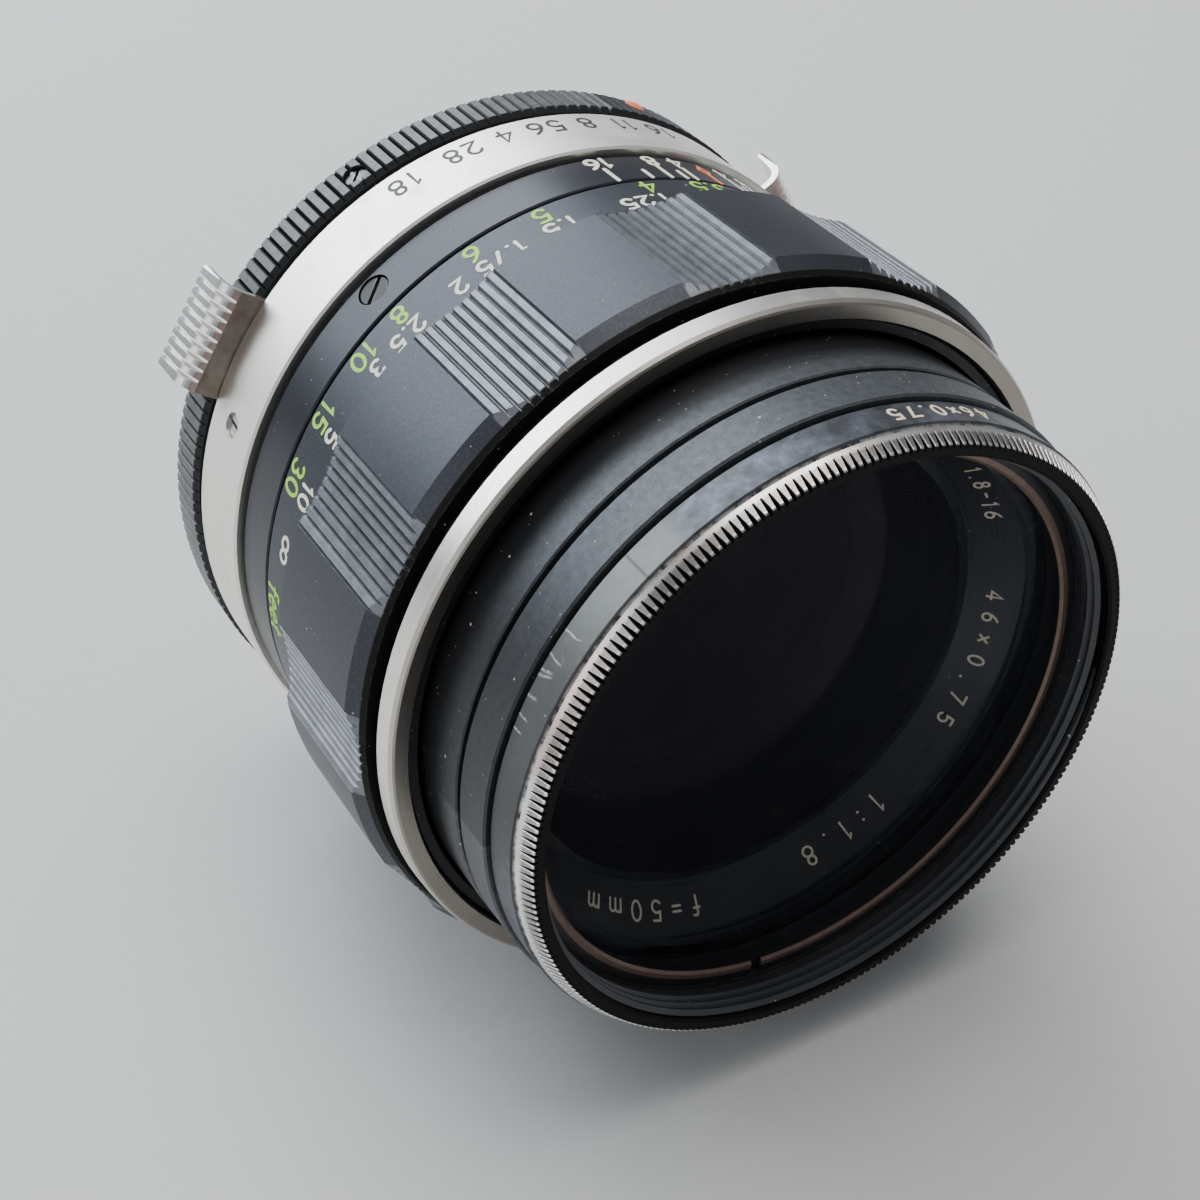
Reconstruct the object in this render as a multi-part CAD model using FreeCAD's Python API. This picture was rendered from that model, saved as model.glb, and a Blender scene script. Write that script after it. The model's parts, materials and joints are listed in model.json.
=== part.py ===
import FreeCAD, Part
import math
import os
from FreeCAD import Vector

# Standard prime camera lens, 50 mm class, with a screw-in filter on the front.
#
# Exported frame: origin on the lens axis at the rear flange face, optical axis along Y with
# the front of the lens towards -Y, +Z up.
# Working frame: the axis is local z, and h is the distance in front of the flange; every
# shape is turned into the exported frame when it is written.
# Millimetres and degrees. Angles are seen from the front, counter-clockwise from +X.
# H_ names are places along the axis, R_ names are radii, and outlines list (r, h) points.

# ---- outside of the lens, rear to front --------------------------------------
H_SPIGOT_REAR = -4.60     # rear end of the mount spigot
H_PILOT_REAR = -1.60
H_KNURL_REAR = 0.50       # fixed knurled grip ring
H_KNURL_FRONT = 4.50
H_APERTURE_REAR = 5.20
H_APERTURE_FRONT = 12.05
H_DEPTH_REAR = 12.10      # fixed depth-of-field ring
H_DEPTH_FRONT = 16.80
H_FOCUS_REAR = 17.20      # focusing ring, distance scale first
H_FOCUS_STEP = 23.40      # rear end of the grip
H_FOCUS_CHAMFER = 34.62
H_FOCUS_FRONT = 36.03
H_SILVER_REAR = 36.95     # bright trim ring
H_SILVER_FRONT = 38.90
H_BARREL_FRONT = 43.25    # front edge of the moving barrel
H_BEZEL_REAR = 43.70
H_BEZEL_FRONT = 47.10
H_FILTER_REAR = 47.35     # rear shoulder of the filter ring
H_RIM_REAR = 50.40        # rear edge of the knurled chrome band
H_RIM_FRONT = 51.60       # front edge of the filter ring

R_MOUNT_BORE = 17.00
R_SPIGOT = 21.20          # neck between the pilot and the bayonet lugs
R_LUG = 22.50
R_PILOT = 22.60           # short pilot that registers in the camera's throat
R_FLANGE = 26.80
R_KNURL = 28.27
R_APERTURE = 28.00
R_DEPTH = 27.45
R_SCALE = 27.50
R_GRIP = 29.28
R_SILVER = 28.00
R_BARREL = 25.25
R_BEZEL = 25.20
R_FILTER_BORE = 23.05     # wall of the front female thread, M46 class
R_FILTER = 24.85
R_BAND = 24.67            # rear edge of the chrome band
R_RIM = 24.00             # front edge of the chrome band

# ---- faces shared inside the lens --------------------------------------------
H_MOUNT_FRONT = 2.0       # the fixed barrel stands on this face
H_FOOT_FRONT = 3.40       # front face of the fixed barrel's foot
H_FIXED_FRONT = 22.0
H_RETAINER_FRONT = 23.1
H_TUBE_REAR = 7.0
H_TUBE_FRONT = 36.0
H_SEAT = 38.0             # front barrel face that the front cell rests on
H_IRIS_REAR = 20.40
H_IRIS_FLOOR = 21.20
H_IRIS_FRONT = 24.30
R_FIXED = 25.25
R_FIXED_BORE = 23.20
R_RING_BORE = 25.30       # rings that fit round the fixed barrel
R_TUBE_OUT = 22.95        # helicoid tube
R_TUBE_IN = 20.90
R_CELL = 20.85            # front cell and iris housing, inside the tube

# ---- screws, pins and keys ---------------------------------------------------
# Countersunk screws run along the axis; the slot is across the head.
MOUNT_SCREW = dict(head_radius=1.35, shank_radius=0.75, r=24.15, h_face=0.0,
                   head_depth=0.75, h_end=3.2, slot=0.35)
MOUNT_SCREW_ANGLES = (20, 110, 200, 290)
RETAINER_SCREW = dict(head_radius=0.75, shank_radius=0.40, r=24.2, h_face=H_RETAINER_FRONT,
                      head_depth=0.45, h_end=20.2, slot=0.25)
RETAINER_SCREW_ANGLES = (30, 120, 210, 300)
BARREL_SCREW = dict(head_radius=0.75, shank_radius=0.42, r=21.92, h_face=H_SEAT,
                    head_depth=0.45, h_end=33.5, slot=0.25)
BARREL_SCREW_ANGLES = (45, 165, 285)

# Radial screws, from the outside inwards.
KNURL_SCREW_ANGLES = (115.1, 235.1, 355.1)
H_KNURL_SCREW = 2.75
R_KNURL_SHOULDER = 27.05
DEPTH_SCREW_ANGLES = (125.5, 245.5, 5.5)
H_DEPTH_SCREW = 14.10
DEPTH_SHANK = 0.70
R_DEPTH_SHOULDER = 26.55
SET_SCREW_ANGLES = (156.6, 276.6, 36.6)
H_SET_SCREW = 8.60
R_SET_END = 26.2
HELICOID_SCREW_ANGLES = (40.0, 160.0, 280.0)
H_HELICOID_SCREW = 26.6
HELICOID_SCREW_RADIUS = 0.60

PIN_ANGLE = 245.0         # stop-down pin
R_PIN = 19.70
PIN_HOLE_RADIUS = 1.05

KEY_ANGLES = (175.0, 355.0)
KEY_WIDTH = 3.0
KEY_HEIGHT = 3.5
H_KEY = 18.0

# ---- small drawing helpers ---------------------------------------------------


def polar(r, angle, h=0.0):
    return Vector(r * math.cos(math.radians(angle)), r * math.sin(math.radians(angle)), h)


def face(points):
    return Part.Face(Part.makePolygon(points + [points[0]]))


def full_turn(flat_face):
    return flat_face.revolve(Vector(0, 0, 0), Vector(0, 0, 1), 360)


def turn(outline):
    """Solid of revolution from a closed (r, h) outline."""
    return full_turn(face([Vector(r, 0, h) for r, h in outline]))


def tube(r_in, r_out, h0, h1, chamfer=0.0):
    """Plain tube; the chamfer is on both outer edges."""
    if chamfer:
        return turn([(r_in, h0), (r_out - chamfer, h0), (r_out, h0 + chamfer),
                     (r_out, h1 - chamfer), (r_out - chamfer, h1), (r_in, h1)])
    return turn([(r_in, h0), (r_out, h0), (r_out, h1), (r_in, h1)])


def spun(shape, angle):
    """Copy turned about the lens axis."""
    copy = shape.copy()
    copy.rotate(Vector(0, 0, 0), Vector(0, 0, 1), angle)
    return copy


def sector(r_in, r_out, angle0, angle1, h0, h1):
    section = face([Vector(r_in, 0, h0), Vector(r_out, 0, h0),
                    Vector(r_out, 0, h1), Vector(r_in, 0, h1)])
    return spun(section.revolve(Vector(0, 0, 0), Vector(0, 0, 1), angle1 - angle0), angle0)


def prism(points, h0, h1):
    """Straight prism along the axis; only x and y of the points count."""
    return face([Vector(p[0], p[1], h0) for p in points]).extrude(Vector(0, 0, h1 - h0))


def block(r0, length, width, h0, height, angle):
    """Box that starts at radius r0, centred on a radial line."""
    return spun(Part.makeBox(length, width, height, Vector(r0, -width / 2, h0)), angle)


def post(radius, x, y, h0, h1):
    return Part.makeCylinder(radius, h1 - h0, Vector(x, y, h0), Vector(0, 0, 1))


def axial_rod(radius, r, angle, h0, h1):
    centre = polar(r, angle)
    return post(radius, centre.x, centre.y, h0, h1)


def radial_rod(radius, r0, r1, angle, h):
    return Part.makeCylinder(radius, r1 - r0, polar(r0, angle, h), polar(1, angle))


def cut_each(shape, tools):
    for tool in tools:
        shape = shape.cut(tool)
    return shape


def drill_axial(shape, radius, r, angles, h0, h1):
    return cut_each(shape, [axial_rod(radius, r, a, h0, h1) for a in angles])


def drill_radial(shape, angles, h, *bores):
    """Drill every (radius, r0, r1) bore at every angle."""
    return cut_each(shape, [radial_rod(radius, r0, r1, a, h)
                            for a in angles for radius, r0, r1 in bores])


# ---- screws ------------------------------------------------------------------


def sunk_body(screw, angle, is_hole=False):
    """Countersunk axial screw, or the hole that takes it."""
    length = abs(screw["h_face"] - screw["h_end"])
    head, shank, depth = screw["head_radius"], screw["shank_radius"], screw["head_depth"]
    top = length + 1 if is_hole else length
    body = turn([(0, 0), (shank, 0), (shank, length - depth), (head, length - 0.12),
                 (head, top), (0, top)])
    if not is_hole:
        slot = screw["slot"]
        body = body.cut(Part.makeBox(2 * head + 1, slot, 1.0,
                                     Vector(-head - 0.5, -slot / 2, length - depth * 0.55)))
        body.rotate(Vector(0, 0, 0), Vector(0, 0, 1), 25)
    if screw["h_face"] < screw["h_end"]:
        body.rotate(Vector(0, 0, 0), Vector(1, 0, 0), 180)   # head faces rearwards
    body.translate(polar(screw["r"], angle, screw["h_end"]))
    return body


def countersink(shape, screw, angles):
    return cut_each(shape, [sunk_body(screw, a, is_hole=True) for a in angles])


def sunk_screws(screw, angles):
    return Part.makeCompound([sunk_body(screw, a) for a in angles])


def radial_screws(angles, h, head, shank, r_top, r_shoulder, r_end, slot, depth, tilt):
    """Cylinder-headed radial screws; each slot is turned by the screw's angle plus tilt."""
    rim = 0.12
    length = r_top - r_end
    shoulder = length - (r_top - r_shoulder)
    screws = []
    for a in angles:
        screw = turn([(0, 0), (shank, 0), (shank, shoulder), (head, shoulder),
                      (head, length - rim), (head - rim, length), (0, length)])
        cutter = Part.makeBox(2 * head + 1, slot, depth + 0.5,
                              Vector(-head - 0.5, -slot / 2, length - depth))
        screw = screw.cut(spun(cutter, a + tilt))
        screw.rotate(Vector(0, 0, 0), Vector(0, 1, 0), 90)   # head outwards
        screw.translate(Vector(r_end, 0, h))
        screws.append(spun(screw, a))
    return Part.makeCompound(screws)


# ---- rear mount, fixed to the camera -----------------------------------------


def rear_mount():
    mount = turn([
        (R_MOUNT_BORE, H_SPIGOT_REAR + 0.3), (R_MOUNT_BORE + 0.3, H_SPIGOT_REAR),
        (R_SPIGOT - 0.3, H_SPIGOT_REAR), (R_SPIGOT, H_SPIGOT_REAR + 0.3),
        (R_SPIGOT, H_PILOT_REAR), (R_PILOT - 0.10, H_PILOT_REAR),
        (R_PILOT, H_PILOT_REAR + 0.10), (R_PILOT, 0.0), (R_FLANGE - 0.15, 0.0),
        (R_FLANGE, 0.15), (R_FLANGE, H_MOUNT_FRONT), (R_MOUNT_BORE, H_MOUNT_FRONT)])
    for k in range(3):
        start = 44 + 120 * k
        mount = mount.fuse(sector(R_SPIGOT - 0.2, R_LUG, start, start + 40,
                                  H_SPIGOT_REAR + 0.25, -3.20))
    mount = countersink(mount, MOUNT_SCREW, MOUNT_SCREW_ANGLES)
    mount = mount.cut(axial_rod(PIN_HOLE_RADIUS, R_PIN, PIN_ANGLE, -6, 3))
    # bayonet lock notch in the spigot face
    return mount.cut(axial_rod(0.9, 19.9, 150.0, -6, -3.4))


def mount_screws():
    return sunk_screws(MOUNT_SCREW, MOUNT_SCREW_ANGLES)


# ---- fixed barrel ------------------------------------------------------------
CLICK_STOPS = (0.0, 7.1, 14.2, 21.3, 28.4, 35.6, 45.8)   # degrees, f/16 to f/1.8
APERTURE_TRAVEL = CLICK_STOPS[-1]
CAM_ANGLE = 305.0         # screw that links the aperture ring to the cam ring
H_CAM_SCREW = 6.0
CAM_SCREW_RADIUS = 0.60
DETENT_ANGLE = 200.0
H_DETENT = 10.2
LEAF_SCREW_ANGLES = (270.0, 284.0)
R_LEAF_SCREW = 22.32
LEAF_SHANK = 0.35
H_LEAF_SCREW_END = 2.3


def fixed_barrel():
    barrel = turn([
        (21.50, H_MOUNT_FRONT), (R_FIXED - 0.25, H_MOUNT_FRONT),
        (R_FIXED, H_MOUNT_FRONT + 0.25), (R_FIXED, H_FIXED_FRONT),
        (R_FIXED_BORE, H_FIXED_FRONT), (R_FIXED_BORE, 9.0), (24.20, 9.0),
        (24.20, H_FOOT_FRONT), (21.50, H_FOOT_FRONT)])
    barrel = drill_axial(barrel, MOUNT_SCREW["shank_radius"], MOUNT_SCREW["r"],
                         MOUNT_SCREW_ANGLES, 1.5, MOUNT_SCREW["h_end"])
    barrel = barrel.cut(axial_rod(PIN_HOLE_RADIUS, R_PIN, PIN_ANGLE, 1.0, 4.0))
    barrel = cut_each(barrel, [block(22.0, 4.5, KEY_WIDTH, H_KEY, KEY_HEIGHT, a)
                               for a in KEY_ANGLES])
    barrel = drill_radial(barrel, DEPTH_SCREW_ANGLES, H_DEPTH_SCREW, (DEPTH_SHANK, 24.2, 26.0))
    barrel = drill_radial(barrel, KNURL_SCREW_ANGLES, H_KNURL_SCREW, (0.55, 24.4, 26.0))
    # slot in which the cam link screw travels
    barrel = barrel.cut(sector(24.0, 25.6, CAM_ANGLE - APERTURE_TRAVEL - 2.2, CAM_ANGLE + 2.2,
                               H_CAM_SCREW - 0.75, H_CAM_SCREW + 0.75))
    barrel = barrel.cut(radial_rod(0.63, 22.9, 26.0, DETENT_ANGLE, H_DETENT))
    barrel = drill_axial(barrel, RETAINER_SCREW["shank_radius"], RETAINER_SCREW["r"],
                         RETAINER_SCREW_ANGLES, RETAINER_SCREW["h_end"], 22.5)
    return drill_axial(barrel, LEAF_SHANK, R_LEAF_SCREW, LEAF_SCREW_ANGLES,
                       H_LEAF_SCREW_END, 4.0)


def guide_keys():
    """Straight keys that stop the optical barrel from turning."""
    limit = tube(21.4, 25.15, 17.9, 21.6)
    return Part.makeCompound([block(21.55, 3.60, KEY_WIDTH, H_KEY, KEY_HEIGHT, a).common(limit)
                              for a in KEY_ANGLES])


def detent_ball():
    return Part.makeSphere(0.60, polar(24.85, DETENT_ANGLE, H_DETENT))


def detent_spring():
    """Coil spring that lies radially inside the ball."""
    coil_radius = 0.42
    wire_radius = 0.07
    helix = Part.makeHelix(0.24, 0.80, coil_radius)     # pitch, height
    section = Part.Wire(Part.makeCircle(wire_radius, Vector(coil_radius, 0, 0),
                                        Vector(0, 1, 0)))
    spring = Part.Wire(helix).makePipeShell([section], True, True)
    if spring.ShapeType != "Solid":    # the sweep may come back as a closed shell
        spring = Part.makeSolid(spring)
    spring.rotate(Vector(0, 0, 0), Vector(0, 1, 0), 90)
    spring.translate(Vector(23.32, 0, H_DETENT))
    return spun(spring, DETENT_ANGLE)


# ---- focus retaining ring and the end stops of the focusing movement ---------
# A stop screw in the helicoid nut runs round between two pins in the retaining ring.
FOCUS_BACK = 99.5         # degrees from rest to infinity
FOCUS_FORWARD = 162.0     # degrees from rest to the closest distance
STOP_ANGLE = 140.0
R_STOP = 24.90
STOP_RADIUS = 0.45
STOP_CONTACT = math.degrees(2 * STOP_RADIUS / R_STOP) + 0.15    # screw touching pin
STOP_PIN_ANGLES = (STOP_ANGLE + FOCUS_FORWARD + STOP_CONTACT,
                   STOP_ANGLE - FOCUS_BACK - STOP_CONTACT)


def focus_retaining_ring():
    ring = tube(R_FIXED_BORE, 26.20, H_FIXED_FRONT, H_RETAINER_FRONT, 0.1)
    ring = countersink(ring, RETAINER_SCREW, RETAINER_SCREW_ANGLES)
    return drill_axial(ring, STOP_RADIUS, R_STOP, STOP_PIN_ANGLES, H_FIXED_FRONT, 23.2)


def retaining_ring_screws():
    return sunk_screws(RETAINER_SCREW, RETAINER_SCREW_ANGLES)


def focus_stop_screw():
    return axial_rod(STOP_RADIUS, R_STOP, STOP_ANGLE, 23.55, 27.0)


def focus_stop_pins():
    return Part.makeCompound([axial_rod(STOP_RADIUS, R_STOP, a, H_FIXED_FRONT, 24.45)
                              for a in STOP_PIN_ANGLES])


# ---- knurled rear ring -------------------------------------------------------
KNURL_TEETH = 180
KNURL_DEPTH = 0.46
KNURL_FLAT = 0.62         # flat top of a tooth, as a share of the pitch
DOT_ANGLE = 62.6          # the plain patch is laid out from here


def knurled_rear_ring():
    blank = turn([
        (26.85, H_KNURL_REAR + 0.15), (27.00, H_KNURL_REAR), (R_KNURL - 0.40, H_KNURL_REAR),
        (R_KNURL + 0.05, H_KNURL_REAR + 0.45), (R_KNURL + 0.05, H_KNURL_FRONT - 0.35),
        (R_KNURL - 0.45, H_KNURL_FRONT), (R_RING_BORE, H_KNURL_FRONT),
        (R_RING_BORE, H_MOUNT_FRONT), (26.85, H_MOUNT_FRONT)])
    tooth = ((-KNURL_FLAT / 2, R_KNURL), (KNURL_FLAT / 2, R_KNURL), (0.5, R_KNURL - KNURL_DEPTH))
    star = prism([polar(r, (k + share) * 360.0 / KNURL_TEETH)
                  for k in range(KNURL_TEETH) for share, r in tooth], -1, 6)
    ring = blank.common(star)
    plain = sector(26.9, R_KNURL - 0.05, DOT_ANGLE - 24.0, DOT_ANGLE + 7.5, 0, 5)
    ring = ring.fuse(plain.common(blank))
    return drill_radial(ring, KNURL_SCREW_ANGLES, H_KNURL_SCREW,
                        (0.97, R_KNURL_SHOULDER, 30), (0.56, 24, 28))


def rear_ring_screws():
    return radial_screws(KNURL_SCREW_ANGLES, H_KNURL_SCREW, head=0.95, shank=0.55,
                         r_top=27.95, r_shoulder=R_KNURL_SHOULDER, r_end=24.45,
                         slot=0.3, depth=0.3, tilt=20)


# ---- depth-of-field ring -----------------------------------------------------


def depth_scale_ring():
    ring = turn([
        (R_FIXED, H_DEPTH_REAR), (26.85, H_DEPTH_REAR), (26.85, 12.45), (27.30, 12.55),
        (R_DEPTH, 12.70), (R_DEPTH, H_DEPTH_FRONT - 0.12), (R_DEPTH - 0.12, H_DEPTH_FRONT),
        (R_FIXED, H_DEPTH_FRONT)])
    return drill_radial(ring, DEPTH_SCREW_ANGLES, H_DEPTH_SCREW,
                        (1.32, R_DEPTH_SHOULDER, 29), (DEPTH_SHANK, 24, 27))


def depth_ring_screws():
    return radial_screws(DEPTH_SCREW_ANGLES, H_DEPTH_SCREW, head=1.27, shank=DEPTH_SHANK,
                         r_top=27.33, r_shoulder=R_DEPTH_SHOULDER, r_end=24.30,
                         slot=0.38, depth=0.34, tilt=0)


# ---- aperture ring with its two finger tabs ----------------------------------
H_GROOVE_REAR = 9.45      # groove in the ring's bore for the detent ball
H_GROOVE_FRONT = 10.95
H_TAB_REAR = 4.62
TAB_ANGLES = (147.0, 27.0)
TAB_WIDTH = 8.5
TAB_GROOVES = 9
TAB_GROOVE_PITCH = TAB_WIDTH / 10.1
R_TAB_BEND, H_TAB_BEND = 29.18, 3.40    # centre of the bend in the tab's section
TAB_SCREW_OFFSETS = (-2.6, 2.6)         # across the tab
TAB_SCREW_X = 26.85


def tab_screw(y):
    """Screw and its angle, in a tab centred on angle 0."""
    screw = dict(head_radius=0.72, shank_radius=0.38, r=math.hypot(TAB_SCREW_X, y),
                 h_face=H_TAB_REAR, head_depth=0.42, h_end=6.4, slot=0.22)
    return screw, math.degrees(math.atan2(y, TAB_SCREW_X))


def aperture_ring():
    ring = turn([
        (R_RING_BORE, 4.55), (25.90, 4.55), (25.90, H_APERTURE_REAR),
        (R_APERTURE - 0.15, H_APERTURE_REAR), (R_APERTURE, H_APERTURE_REAR + 0.15),
        (R_APERTURE, H_APERTURE_FRONT - 0.18), (R_APERTURE - 0.18, H_APERTURE_FRONT),
        (R_RING_BORE, H_APERTURE_FRONT), (R_RING_BORE, H_GROOVE_FRONT),
        (25.50, H_GROOVE_FRONT), (25.50, H_GROOVE_REAR), (R_RING_BORE, H_GROOVE_REAR)])
    # click notches, one per stop; the ball sits in them in turn
    ring = drill_axial(ring, 0.45, 25.55, [DETENT_ANGLE + stop for stop in CLICK_STOPS],
                       H_GROOVE_REAR, H_GROOVE_FRONT)
    ring = drill_radial(ring, SET_SCREW_ANGLES, H_SET_SCREW, (0.97, R_SET_END, 29))
    ring = ring.cut(radial_rod(CAM_SCREW_RADIUS, 25.0, 28.5, CAM_ANGLE, H_CAM_SCREW))
    for tab_angle in TAB_ANGLES:
        for y in TAB_SCREW_OFFSETS:
            screw, angle = tab_screw(y)
            ring = ring.cut(axial_rod(screw["shank_radius"], screw["r"], angle + tab_angle,
                                      5.0, screw["h_end"]))
    return ring


def aperture_set_screws():
    return radial_screws(SET_SCREW_ANGLES, H_SET_SCREW, head=0.95, shank=0.95,
                         r_top=27.72, r_shoulder=27.0, r_end=R_SET_END,
                         slot=0.26, depth=0.35, tilt=15)


def tab_bend(radius, start, end, steps):
    """(r, h) points round the bend."""
    angles = [math.radians(start + (end - start) * i / steps) for i in range(steps + 1)]
    return [(R_TAB_BEND + radius * math.cos(a), H_TAB_BEND + radius * math.sin(a))
            for a in angles]


def aperture_tabs():
    """Plates standing out of the ring, then turned rearwards over the knurled ring."""
    outline = [(26.05, H_TAB_REAR), (29.10, H_TAB_REAR)]
    outline += tab_bend(1.22, 88, 8, 8)
    outline += [(30.55, 2.4), (30.66, 1.45), (30.75, 1.22), (31.05, 1.15),
                (31.22, 1.30), (31.20, 1.75), (31.12, 2.5)]
    outline += tab_bend(1.80, 8, 90, 12)
    outline += [(26.05, H_APERTURE_REAR)]
    tab = face([Vector(r, 0, h) for r, h in outline]).extrude(Vector(0, TAB_WIDTH, 0))
    tab.translate(Vector(0, -TAB_WIDTH / 2, 0))
    # grip grooves: one run along the turned part, one tilted run over the bend
    r_floor = 30.72
    for k in range(TAB_GROOVES):
        y = -TAB_WIDTH / 2 + TAB_GROOVE_PITCH * (k + 1.05)
        section = [(32.0, y - 0.52), (32.0, y + 0.52), (r_floor, y + 0.07), (r_floor, y - 0.07)]
        for h0, length, tilt in ((0.9, 2.9, -1.0), (3.4, 2.3, -32.0)):
            groove = prism(section, h0, h0 + length)
            groove.rotate(Vector(r_floor, 0, 3.45), Vector(0, 1, 0), tilt)
            tab = tab.cut(groove)
    # softened side corners of the grip
    for side in (-1, 1):
        y = side * TAB_WIDTH / 2
        tab = tab.cut(prism([(30.9, y + 0.01 * side), (32.0, y + 0.01 * side),
                             (32.0, y - 0.60 * side)], 0, 7))
    for y in TAB_SCREW_OFFSETS:
        screw, angle = tab_screw(y)
        tab = countersink(tab, screw, [angle])
    return Part.makeCompound([spun(tab, a) for a in TAB_ANGLES])


def tab_screws():
    return Part.makeCompound([spun(sunk_body(*tab_screw(y)), a)
                              for a in TAB_ANGLES for y in TAB_SCREW_OFFSETS])


def aperture_cam_ring():
    cam = tube(23.25, 24.15, 4.50, 7.50)
    # limiting notch of the cam: one long, shallow step in its front edge
    cam = cam.cut(sector(23.0, 24.5, 230, 276, 6.9, 8.0))
    cam = cam.cut(sector(23.0, 24.5, 215, 230, 7.2, 8.0))
    return cam.cut(radial_rod(CAM_SCREW_RADIUS, 23.0, 24.5, CAM_ANGLE, H_CAM_SCREW))


def cam_link_screw():
    screw = radial_rod(CAM_SCREW_RADIUS, 23.3, 27.85, CAM_ANGLE, H_CAM_SCREW)
    return screw.cut(block(27.6, 0.5, 2.0, H_CAM_SCREW - 0.1, 0.2, CAM_ANGLE))


# ---- focusing ring -----------------------------------------------------------
R_NECK_BORE = 26.45
R_NUT = 26.40
GRIP_PANELS = 12
GRIP_PANEL_HALF = 7.05    # degrees
GRIP_FIRST = 119.4        # centre of one ribbed panel
GRIP_SCOOP = 0.62         # hollow of a panel at its middle
GRIP_RIBS = 9
GRIP_RIB_PITCH = 1.55     # degrees
GRIP_GROOVE = 0.34        # depth between ribs


def grip_cutter():
    """Cutter for one scooped panel, leaving ribs on its floor; centred on angle 0."""
    half, pitch = GRIP_PANEL_HALF, GRIP_RIB_PITCH

    def floor(angle):
        return R_GRIP - GRIP_SCOOP * (1 - (angle / half) ** 2)

    last = (GRIP_RIBS - 1) / 2 * pitch
    r_end_groove = floor(last + 0.5 * pitch) - GRIP_GROOVE * 0.8
    outline = [(R_GRIP + 0.02, -half - 0.02), (r_end_groove, -last - 0.46 * pitch)]
    for k in range(GRIP_RIBS):
        rib = -last + k * pitch
        for edge in (rib - 0.27 * pitch, rib + 0.27 * pitch):
            outline.append((floor(edge), edge))
        if k < GRIP_RIBS - 1:
            gap = rib + 0.5 * pitch
            for side in (-0.04, 0.04):
                outline.append((floor(gap) - GRIP_GROOVE, gap + side))
    outline += [(r_end_groove, last + 0.46 * pitch), (R_GRIP + 0.02, half + 0.02),
                (31.5, half + 1.0), (31.5, -half - 1.0)]
    return prism([polar(r, a) for r, a in outline], H_FOCUS_STEP - 0.6, H_FOCUS_FRONT + 0.6)


def focus_ring():
    ring = turn([
        (R_RING_BORE, H_FOCUS_REAR), (R_SCALE - 0.12, H_FOCUS_REAR),
        (R_SCALE, H_FOCUS_REAR + 0.12), (R_SCALE, H_FOCUS_STEP - 0.25),
        (R_SCALE + 0.25, H_FOCUS_STEP), (R_GRIP - 0.12, H_FOCUS_STEP),
        (R_GRIP, H_FOCUS_STEP + 0.14), (R_GRIP, H_FOCUS_CHAMFER), (28.34, H_FOCUS_FRONT),
        (27.25, H_FOCUS_FRONT), (27.25, H_SILVER_REAR), (R_NECK_BORE, H_SILVER_REAR),
        (R_NECK_BORE, 21.95), (R_RING_BORE, 21.95)])
    cutter = grip_cutter()
    ring = ring.cut(Part.makeCompound([spun(cutter, GRIP_FIRST + k * 360.0 / GRIP_PANELS)
                                       for k in range(GRIP_PANELS)]))
    return drill_radial(ring, HELICOID_SCREW_ANGLES, H_HELICOID_SCREW,
                        (HELICOID_SCREW_RADIUS, 26.0, 27.9))


def silver_trim_ring():
    """Bright ring on the front of the focusing ring's neck."""
    return turn([
        (26.42, H_SILVER_REAR), (R_SILVER - 0.10, H_SILVER_REAR),
        (R_SILVER, H_SILVER_REAR + 0.12), (27.92, H_SILVER_FRONT - 0.32),
        (27.72, H_SILVER_FRONT - 0.06), (27.55, H_SILVER_FRONT),
        (26.55, H_SILVER_FRONT - 0.02), (26.42, H_SILVER_FRONT - 0.18)])


def dust_ring():
    """Dark inner ring that holds the trim ring."""
    return turn([(25.45, 34.60), (R_NUT, 34.60), (R_NUT, 38.15), (26.25, 38.30),
                 (25.60, 38.30), (25.45, 38.15)])


def helicoid_nut():
    r_bore = 23.00
    nut = turn([(r_bore, 23.30), (R_NUT, 23.30), (R_NUT, 29.5), (25.2, 30.1), (r_bore, 30.1)])
    nut = drill_radial(nut, HELICOID_SCREW_ANGLES, H_HELICOID_SCREW,
                       (HELICOID_SCREW_RADIUS, 25.0, 27))
    nut = nut.cut(tube(24.2, 25.6, 23.2, 24.6))     # groove that clears the stop pins
    return nut.cut(axial_rod(STOP_RADIUS, R_STOP, STOP_ANGLE, 24.0, 27.0))


def helicoid_screws():
    return Part.makeCompound([
        radial_rod(HELICOID_SCREW_RADIUS, 25.0, 27.80, a, H_HELICOID_SCREW)
        for a in HELICOID_SCREW_ANGLES])


# ---- optical barrel: moves straight along the axis ---------------------------


def helicoid_tube():
    body = tube(R_TUBE_IN, R_TUBE_OUT, H_TUBE_REAR, H_TUBE_FRONT, 0.15)
    body = cut_each(body, [block(20.3, 3.2, KEY_WIDTH + 0.10, 13.2, 11.3, a)
                           for a in KEY_ANGLES])
    # shallow grooves of the focusing thread
    depth = 0.28
    for k in range(9):
        h = 23.6 + k * 1.0
        body = body.cut(turn([(R_TUBE_OUT - depth, h), (R_TUBE_OUT + 0.2, h - depth),
                              (R_TUBE_OUT + 0.2, h + depth)]))
    return drill_axial(body, BARREL_SCREW["shank_radius"], BARREL_SCREW["r"],
                       BARREL_SCREW_ANGLES, BARREL_SCREW["h_end"], 36.5)


def front_barrel():
    barrel = turn([
        (R_TUBE_IN, H_TUBE_FRONT), (24.20, H_TUBE_FRONT), (24.20, 33.0),
        (R_BARREL - 0.1, 33.0), (R_BARREL, 33.1), (R_BARREL, H_BARREL_FRONT - 0.12),
        (R_BARREL - 0.12, H_BARREL_FRONT), (24.00, H_BARREL_FRONT), (24.00, 41.40),
        (22.95, 41.40), (22.95, H_SEAT), (R_TUBE_IN, H_SEAT)])
    return countersink(barrel, BARREL_SCREW, BARREL_SCREW_ANGLES)


def barrel_screws():
    return sunk_screws(BARREL_SCREW, BARREL_SCREW_ANGLES)


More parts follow.
